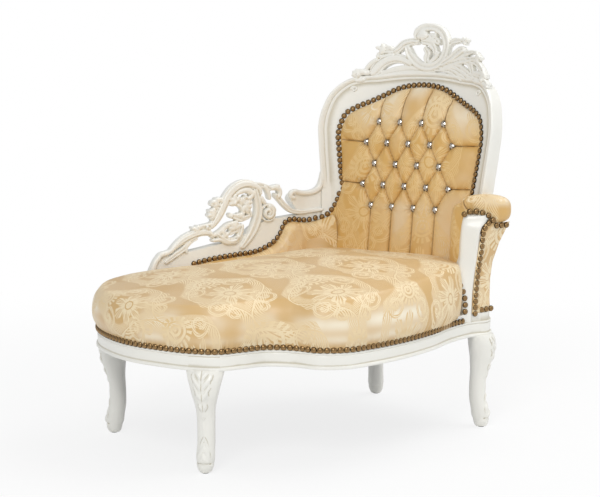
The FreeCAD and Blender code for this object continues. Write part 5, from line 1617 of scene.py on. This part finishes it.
class CHAISE_OT_arm_pads(bpy.types.Operator):
    """Shapes the stuffed roll of the arm, with its pleat, and the pad inside it"""

    bl_idname = "chaise.arm_pads"
    bl_label = "Arm pads"

    def execute(self, context):
        def dress_roll(spots, out, share):
            """Folds fan out over the front of the roll from one place, the first of them creased; painted
            shade lies along it and under the roll.
            """
            x, y, z = spots.T
            front = grow(x, 425, -14)
            fan = np.zeros(len(x))
            for tip, strength in ROLL_FOLDS:
                fan = np.maximum(fan, bell(to_segment(y, z, ROLL_FOLD_ROOT, tip)[0], 3.6) * strength)
            line = bell(to_segment(y, z, ROLL_FOLD_ROOT, ROLL_CREASE_TIP)[0], 1.7) * front
            pucker = np.sin(np.arctan2(x - 440, y + 250) * 34) * 0.7 * grow(z, 582, -14)
            moved = spots.copy()
            moved[:, :2] -= out * (fan * front * 4.0)[:, None]
            moved[:, :2] += out * pucker[:, None]
            # Painted shade along the creased fold and under the roll
            return moved, np.clip(line * 0.95 + grow(z, 572, -14) * 0.3, 0, 1)

        roll = stuffed("stuffed_arm_roll", ROLL_PLAN, ROLL_FLOOR, ROLL_TOP, 2.7, 0.0, 320, 130, dress_roll)
        # Painted highlight on the top of the roll, painted shade below it
        top = grow(points_of(roll)[:, 2] / MM, 606, 22)
        mark(roll, "painted_highlight", top * 0.8)
        mark(roll, "painted_shade", 0.45 - 0.35 * top)
        finished(roll, "cloth", ["arm_roll"], 70)

        def dress_pad(spots, out, share):
            """The pad swells a little at its middle height."""
            x, y, z = spots.T
            swell = np.sin(grow(z, 330, 270) * math.pi) * 2.2
            pull = np.sin(z * 0.09 + x * 0.05) * 0.5
            moved = spots.copy()
            moved[:, :2] += out * ((swell + pull) * share)[:, None]
            return moved, np.zeros(len(x))

        pad = stuffed("stuffed_arm_inner_pad", ARM_PAD_PLAN, ARM_PAD_FLOOR, ARM_PAD_TOP, 5.0, ARM_LEAN,
                      160, 120, dress_pad)
        # Painted shade over the whole pad, which sits in the corner by the back
        mark(pad, "painted_shade", 0.9)
        finished(pad, "cloth", ["arm_inner_pad"], 70)
        return {"FINISHED"}


def rim_gap(p, q, wide, tall):
    """Distance to the nearest edge of a panel."""
    return np.minimum(np.minimum(p, 1 - p) * wide, np.minimum(q, 1 - q) * tall)


def puffed(p, q, wide, tall, thick):
    """Puffed thickness of a panel over its own face."""
    swell = 2.0 * (np.sin(math.pi * p) * np.sin(math.pi * q)) ** 0.6
    return thick * rounded(rim_gap(p, q, wide, tall), 9.0) + swell


def there_and_back(value):
    """A run over a panel's face and back over its rear, and where it is at the rear."""
    turn = value * 2
    return np.where(turn > 1, 2 - turn, turn), turn > 1


class CHAISE_OT_covers(bpy.types.Operator):
    """Stretches the lightly stuffed panels over the outsides of the arm, the side and the back"""

    bl_idname = "chaise.covers"
    bl_label = "Outside panels"

    def execute(self, context):
        rows = np.array([(z, *front, *rear) for z, front, rear in ARM_COVER_ROWS], float)
        low, high = rows[0, 0], rows[-1, 0]

        def arm(u, v):
            p, rear = there_and_back(u)
            z = low + (high - low) * v
            fx, fy, rx, ry = read_at(z, rows, 1, 5)
            run = np.hypot(rx - fx, ry - fy)
            out = np.stack([(ry - fy), -(rx - fx)], axis=-1) / run[:, None]
            behind = -4.5 * grow(rim_gap(p, v, *ARM_COVER_SIZE), 0, 3)
            t = np.where(rear, behind, puffed(p, v, *ARM_COVER_SIZE, 3.0)) - 2.5
            x = fx + (rx - fx) * p + out[:, 0] * t
            y = fy + (ry - fy) * p + out[:, 1] * t
            return np.column_stack([x, y, z]), np.column_stack([p * run, z])

        piece = sealed(formed("outside_arm_panel", 160, 140, arm))
        mark(piece, "crease_shade", 0.0)
        finished(piece, "cloth", ["arm_outer_cover"], 60)

        heart = np.array(OUTSIDE_HEART)
        half, level = OUTSIDE_FOOT
        foot = np.column_stack([np.linspace(half, -half, 60), np.full(60, level)])
        upper = Track(mirrored(OUTSIDE_LINE)).line[:, :2]
        ring = np.vstack([upper, foot, upper[:1]])
        around = lengths_of(ring)[-1]

        def back(u, v):
            spot = heart + (at_lengths(ring, u * around) - heart) * (1 - v)[:, None]
            thick = FRAME_THICKNESS - 0.4 + 7.0 * rounded(v * 240, 9.0) + 3.0 * np.sin(v * math.pi / 2)
            return on_back(spot[:, 0], spot[:, 1], -thick), np.column_stack([-spot[:, 0], spot[:, 1]])

        piece = sealed(formed("outside_back_panel", 480, 90, back))
        mark(piece, "crease_shade", 0.0)
        finished(piece, "cloth", ["back_outside_cover"], 60)

        top_edge = Track(SIDE_COVER_LINE)
        rear_y = SIDE_FACE + SIDE_THICKNESS

        def side(u, v):
            q, inner = there_and_back(v)
            top = top_edge.at(u)
            z = SIDE_COVER_FOOT + (top[:, 1] - SIDE_COVER_FOOT) * q
            behind = -0.5 * grow(rim_gap(u, q, *SIDE_COVER_SIZE), 0, 3)
            t = np.where(inner, behind, puffed(u, q, *SIDE_COVER_SIZE, 7.0))
            return np.column_stack([top[:, 0], rear_y + t, z]), np.column_stack([-top[:, 0], z])

        piece = sealed(formed("outside_side_panel", 240, 100, side))
        mark(piece, "crease_shade", 0.0)
        finished(piece, "cloth", ["side_outside_cover"], 60)
        return {"FINISHED"}


class CHAISE_OT_side_pad(bpy.types.Operator):
    """Shapes the padded inner panel of the side, from its nails down to the seat"""

    bl_idname = "chaise.side_pad"
    bl_label = "Side pad"

    def execute(self, context):
        top = Track(SIDE_PAD_TOP)
        kept = {}

        def place(u, v):
            x, high = top.at(u).T
            fall = (high - SIDE_PAD_FOOT) * v ** 1.25
            roll = rounded(fall, 26.0, 2.2, 0.6)
            swell = 5.0 * np.sin(grow(fall, 0, 150) * math.pi) * grow(x, -200, 250)
            pull = 0.8 * np.cos(2 * math.pi * u * top.length / NAIL_PITCH) * np.exp(-fall / 14) * (fall > 0.5)
            slim = SIDE_PAD_DEPTH - 8.0 * grow(x, 230, 40)
            wrinkle = np.sin((x + fall * 0.8) * 0.085) * 1.1 * grow(x, 60, 80)
            y = SIDE_FACE - 0.3 - side_turn(x, 541.0, 1.3) - slim * roll - (swell + wrinkle) * roll - pull
            # Painted highlight on the pad's rounded top towards the head end
            kept["painted_highlight"] = grow(x, 0, 140) * roll * 0.9
            # Painted shadow just under the nails along the top
            kept["crease_shade"] = np.exp(-fall / 3.0) * 0.35
            return np.column_stack([x, y, high - fall]), np.column_stack([x, high - fall])

        piece = formed("stuffed_side_pad", 330, 110, place)
        mark(piece, "crease_shade", kept["crease_shade"])
        mark(piece, "painted_highlight", kept["painted_highlight"])
        # Painted shade over the whole pad
        mark(piece, "painted_shade", 0.45)
        backed(piece, np.ones(len(piece.data.vertices), bool), (0, 0.4 * MM, 0))
        finished(piece, "cloth", ["side_pad"], 70)
        return {"FINISHED"}


class CHAISE_OT_hidden_parts(bpy.types.Operator):
    """Gives the inner pieces their plain finishes"""

    bl_idname = "chaise.hidden_parts"
    bl_label = "Inner pieces"

    def execute(self, context):
        for look, nodes in (
                ("wood", ("seat_bearers", "back_bottom_rail", "back_board", "arm_rail", "corner_blocks",
                          "back_dowels")),
                ("steel", ("corner_screws",)),
                ("jute", ("seat_webbing_long", "seat_webbing_cross", "seat_hessian")),
                ("dust", ("dust_cover",))):
            for node in nodes:
                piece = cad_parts[node]
                piece.data.materials.clear()
                piece.data.materials.append(look_of(look))
        return {"FINISHED"}


def strand(name, points, place, front, rear, flutes=0, lobes=0, columns=26):
    """A carved oval strand with flutes, along a line of x, y and width, set by place(x, y, proud)."""
    track = Track(points)
    rows = max(16, int(track.length / 3.0))
    if max(point[2] for point in points) < FLUTED_WIDTH:
        flutes = 0

    def shape(u, v):
        at = track.at(v)
        way = track.heading(v, 0.01)
        width = np.maximum(at[:, 2] * 1.10, 1.0)
        run = v * track.length
        to_end = np.minimum(run, track.length - run)
        cap = np.sqrt(np.clip(1 - (1 - grow(to_end, 0, width * 0.5)) ** 2, 0.004, 1))
        cos, sin = np.cos(2 * math.pi * u), np.sin(2 * math.pi * u)
        share = bowed(cos, 0.8)
        off = share * width / 2 * cap
        if lobes:
            off = off * (1 + 0.17 * np.cos(2 * math.pi * lobes * v + share * 1.2))
        top = np.clip(sin, 0, 1) ** 0.7
        rise = np.where(sin > 0, top * front, -np.abs(sin) ** 0.6 * rear) * (0.4 + 0.6 * cap)
        if flutes:
            groove = (0.5 - 0.5 * np.cos(math.pi * flutes * (share + 1))) ** 1.4
            rise = rise - groove * top * cap * min(0.42 * front, 0.2 * front + 0.13 * width.mean())
        spot = at[:, :2] - outward(way) * off[:, None]
        return place(spot[:, 0], spot[:, 1], rise)

    return sealed(formed(name, columns, rows, shape), 0.02)


def spray(x, y, heading, spread, count, length, width):
    """Leaf fingers that fan out from a place, the middle one longest."""
    leaves = []
    for k in range(count):
        share = 2 * k / (count - 1) - 1
        start = math.radians(heading + share * spread)
        bend = math.radians(heading + share * spread * 1.6)
        reach = length * (1 - 0.28 * abs(share))
        middle = (x + 0.55 * reach * math.cos(start), y + 0.55 * reach * math.sin(start))
        tip = (middle[0] + 0.45 * reach * math.cos(bend), middle[1] + 0.45 * reach * math.sin(bend))
        leaves.append([(x, y, width * 0.9), (*middle, width * 1.5), (*tip, width * 0.7)])
    return leaves


def strands(name, carving, place, rear):
    """The strands of a carving's table."""
    return [strand("%s_%02d" % (name, k), points, place, proud, rear, flutes, lobes)
            for k, (proud, flutes, lobes, points) in enumerate(carving)]


def fans_and_eyes(name, fans, eyes, place, rear):
    """Leaf fans and small round eyes of a carving."""
    parts = []
    for k, (proud, *fan) in enumerate(fans):
        for j, points in enumerate(spray(*fan)):
            parts.append(strand("%s_fan_%d_%d" % (name, k, j), points, place, proud, rear, columns=18))
    for k, (x, y, size) in enumerate(eyes):
        line = [(x - size * 0.7, y, size * 1.7), (x, y, size * 1.9), (x + size * 0.7, y, size * 1.7)]
        parts.append(strand("%s_eye_%d" % (name, k), line, place, 15, rear, columns=18))
    return parts


def carved(name, parts):
    """Joins strands into one carving with soft meetings."""
    piece = joined(name, parts)
    applied(piece, "REMESH", mode="VOXEL", voxel_size=CARVING_VOXEL * MM)
    applied(piece, "SMOOTH", factor=0.5, iterations=5)
    return piece


def volute(x, y, start, turns, outer, inner, width):
    """Points of a scroll that winds in."""
    steps = max(8, int(abs(turns) * 12))
    points = []
    for i in range(steps + 1):
        share = i / steps
        angle = math.radians(start) + 2 * math.pi * turns * share
        radius = outer + (inner - outer) * share
        size = width * (1 - 0.45 * share)
        points.append((x + radius * math.cos(angle), y + radius * math.sin(angle), size))
    return points


class CHAISE_OT_crest(bpy.types.Operator):
    """Carves the pierced crest over the back, and the small curls that end the rim"""

    bl_idname = "chaise.crest"
    bl_label = "Crest"

    def execute(self, context):
        parts = strands("crest", CREST, on_back, CREST_REAR)
        parts += fans_and_eyes("crest", CREST_FANS, CREST_EYES, on_back, CREST_REAR)
        for x, y, start in RIM_CURLS:
            turns = 1.4 if x > 0 else -1.4
            parts.append(strand("curl", volute(x, y, start, turns, 9, 2.5, 5), on_back, 4.5, 2))
        lacquered(carved("carved_crest", parts), "crest_carving", 0.4, 80)
        return {"FINISHED"}


class CHAISE_OT_side(bpy.types.Operator):
    """Models the low carved side: the board and the pierced carving on it"""

    bl_idname = "chaise.side"
    bl_label = "Carved side"

    def execute(self, context):
        low, high = Track(SIDE_LOW), Track(SIDE_HIGH)
        line = np.vstack([low.at(np.linspace(0, 1, 90)), high.at(np.linspace(0, 1, 60))[1:]])
        work = bmesh.new()
        ring = [Vector(np.array([x, SIDE_FACE, z]) * MM + MIDDLE) for x, z in line.tolist() + SIDE_END]
        work.faces.new([work.verts.new(spot) for spot in ring])
        # Cuts for the part of the face that turns in near the stile
        for x in np.arange(204, 268, 4):
            every = work.verts[:] + work.edges[:] + work.faces[:]
            bmesh.ops.bisect_plane(work, geom=every, plane_co=(x * MM + MIDDLE[0], 0, 0), plane_no=(1, 0, 0))
        made = bmesh.ops.extrude_face_region(work, geom=work.faces[:])
        rear = {item for item in made["geom"] if isinstance(item, bmesh.types.BMVert)}
        for point in work.verts:
            x, y, z = (np.array(point.co) - MIDDLE) / MM
            turn = float(side_turn(x, z))
            thick = SIDE_THICKNESS - (26.0 + turn) * grow(x, 196, 30) * grow(z, 560, 30)
            point.co.y += (thick if point in rear else -turn) * MM
        bmesh.ops.recalc_face_normals(work, faces=work.faces)
        mesh = bpy.data.meshes.new("carved_side_board")
        work.to_mesh(mesh)
        work.free()
        board = placed("carved_side_board", mesh)
        applied(board, "BEVEL", width=3.2 * MM, segments=3, limit_method="ANGLE",
                angle_limit=math.radians(60))
        finished(board, "lacquer", ["side_frame"], 35)
        x, z = VOLUTE
        parts = strands("side", SIDE_CARVING, on_side, SIDE_REAR)
        parts.append(strand("side_bar", BAR_BEAD, on_bar, 9, 8))
        parts += fans_and_eyes("side", SIDE_FANS, SIDE_EYES, on_side, SIDE_REAR)
        parts.append(strand("side_volute", volute(x, z, 100, -1.6, 18, 3, 12), on_side, 11, SIDE_REAR))
        parts.append(strand("side_disc", [(x - 9, z, 36), (x + 9, z, 36)], on_side, 3, SIDE_REAR))
        parts.append(strand("side_ring", volute(x, z, 0, 1.0, 24, 24, 7), on_side, 7, SIDE_REAR))
        lacquered(carved("carved_side_scrolls", parts), "side_carving", 0.4, 80)
        return {"FINISHED"}


class CHAISE_PT_panel(bpy.types.Panel):
    """Lists the pieces of the chaise longue"""

    bl_label = "Chaise"
    bl_idname = "CHAISE_PT_panel"
    bl_space_type = "VIEW_3D"
    bl_region_type = "UI"
    bl_category = "Chaise"

    def draw(self, context):
        for name in ChaiseSettings.__annotations__:
            self.layout.prop(context.scene.chaise, name)
        for step in STEPS:
            self.layout.operator(step.bl_idname)


STEPS = [
    CHAISE_OT_stage, CHAISE_OT_seat_rails, CHAISE_OT_legs, CHAISE_OT_rail_dowels, CHAISE_OT_glides,
    CHAISE_OT_seat_cushion, CHAISE_OT_back_frame, CHAISE_OT_back_pad, CHAISE_OT_crystal_buttons,
    CHAISE_OT_crest, CHAISE_OT_side, CHAISE_OT_side_pad, CHAISE_OT_arm_post, CHAISE_OT_arm_pads,
    CHAISE_OT_covers, CHAISE_OT_nails, CHAISE_OT_hidden_parts,
]


def register():
    bpy.utils.register_class(ChaiseSettings)
    for step in STEPS:
        bpy.utils.register_class(step)
    bpy.utils.register_class(CHAISE_PT_panel)
    bpy.types.Scene.chaise = bpy.props.PointerProperty(type=ChaiseSettings)


def unregister():
    del bpy.types.Scene.chaise
    bpy.utils.unregister_class(CHAISE_PT_panel)
    for step in reversed(STEPS):
        bpy.utils.unregister_class(step)
    bpy.utils.unregister_class(ChaiseSettings)


def main():
    register()
    for step in STEPS:
        group, name = step.bl_idname.split(".")
        getattr(getattr(bpy.ops, group), name)()


if __name__ == "__main__":
    main()
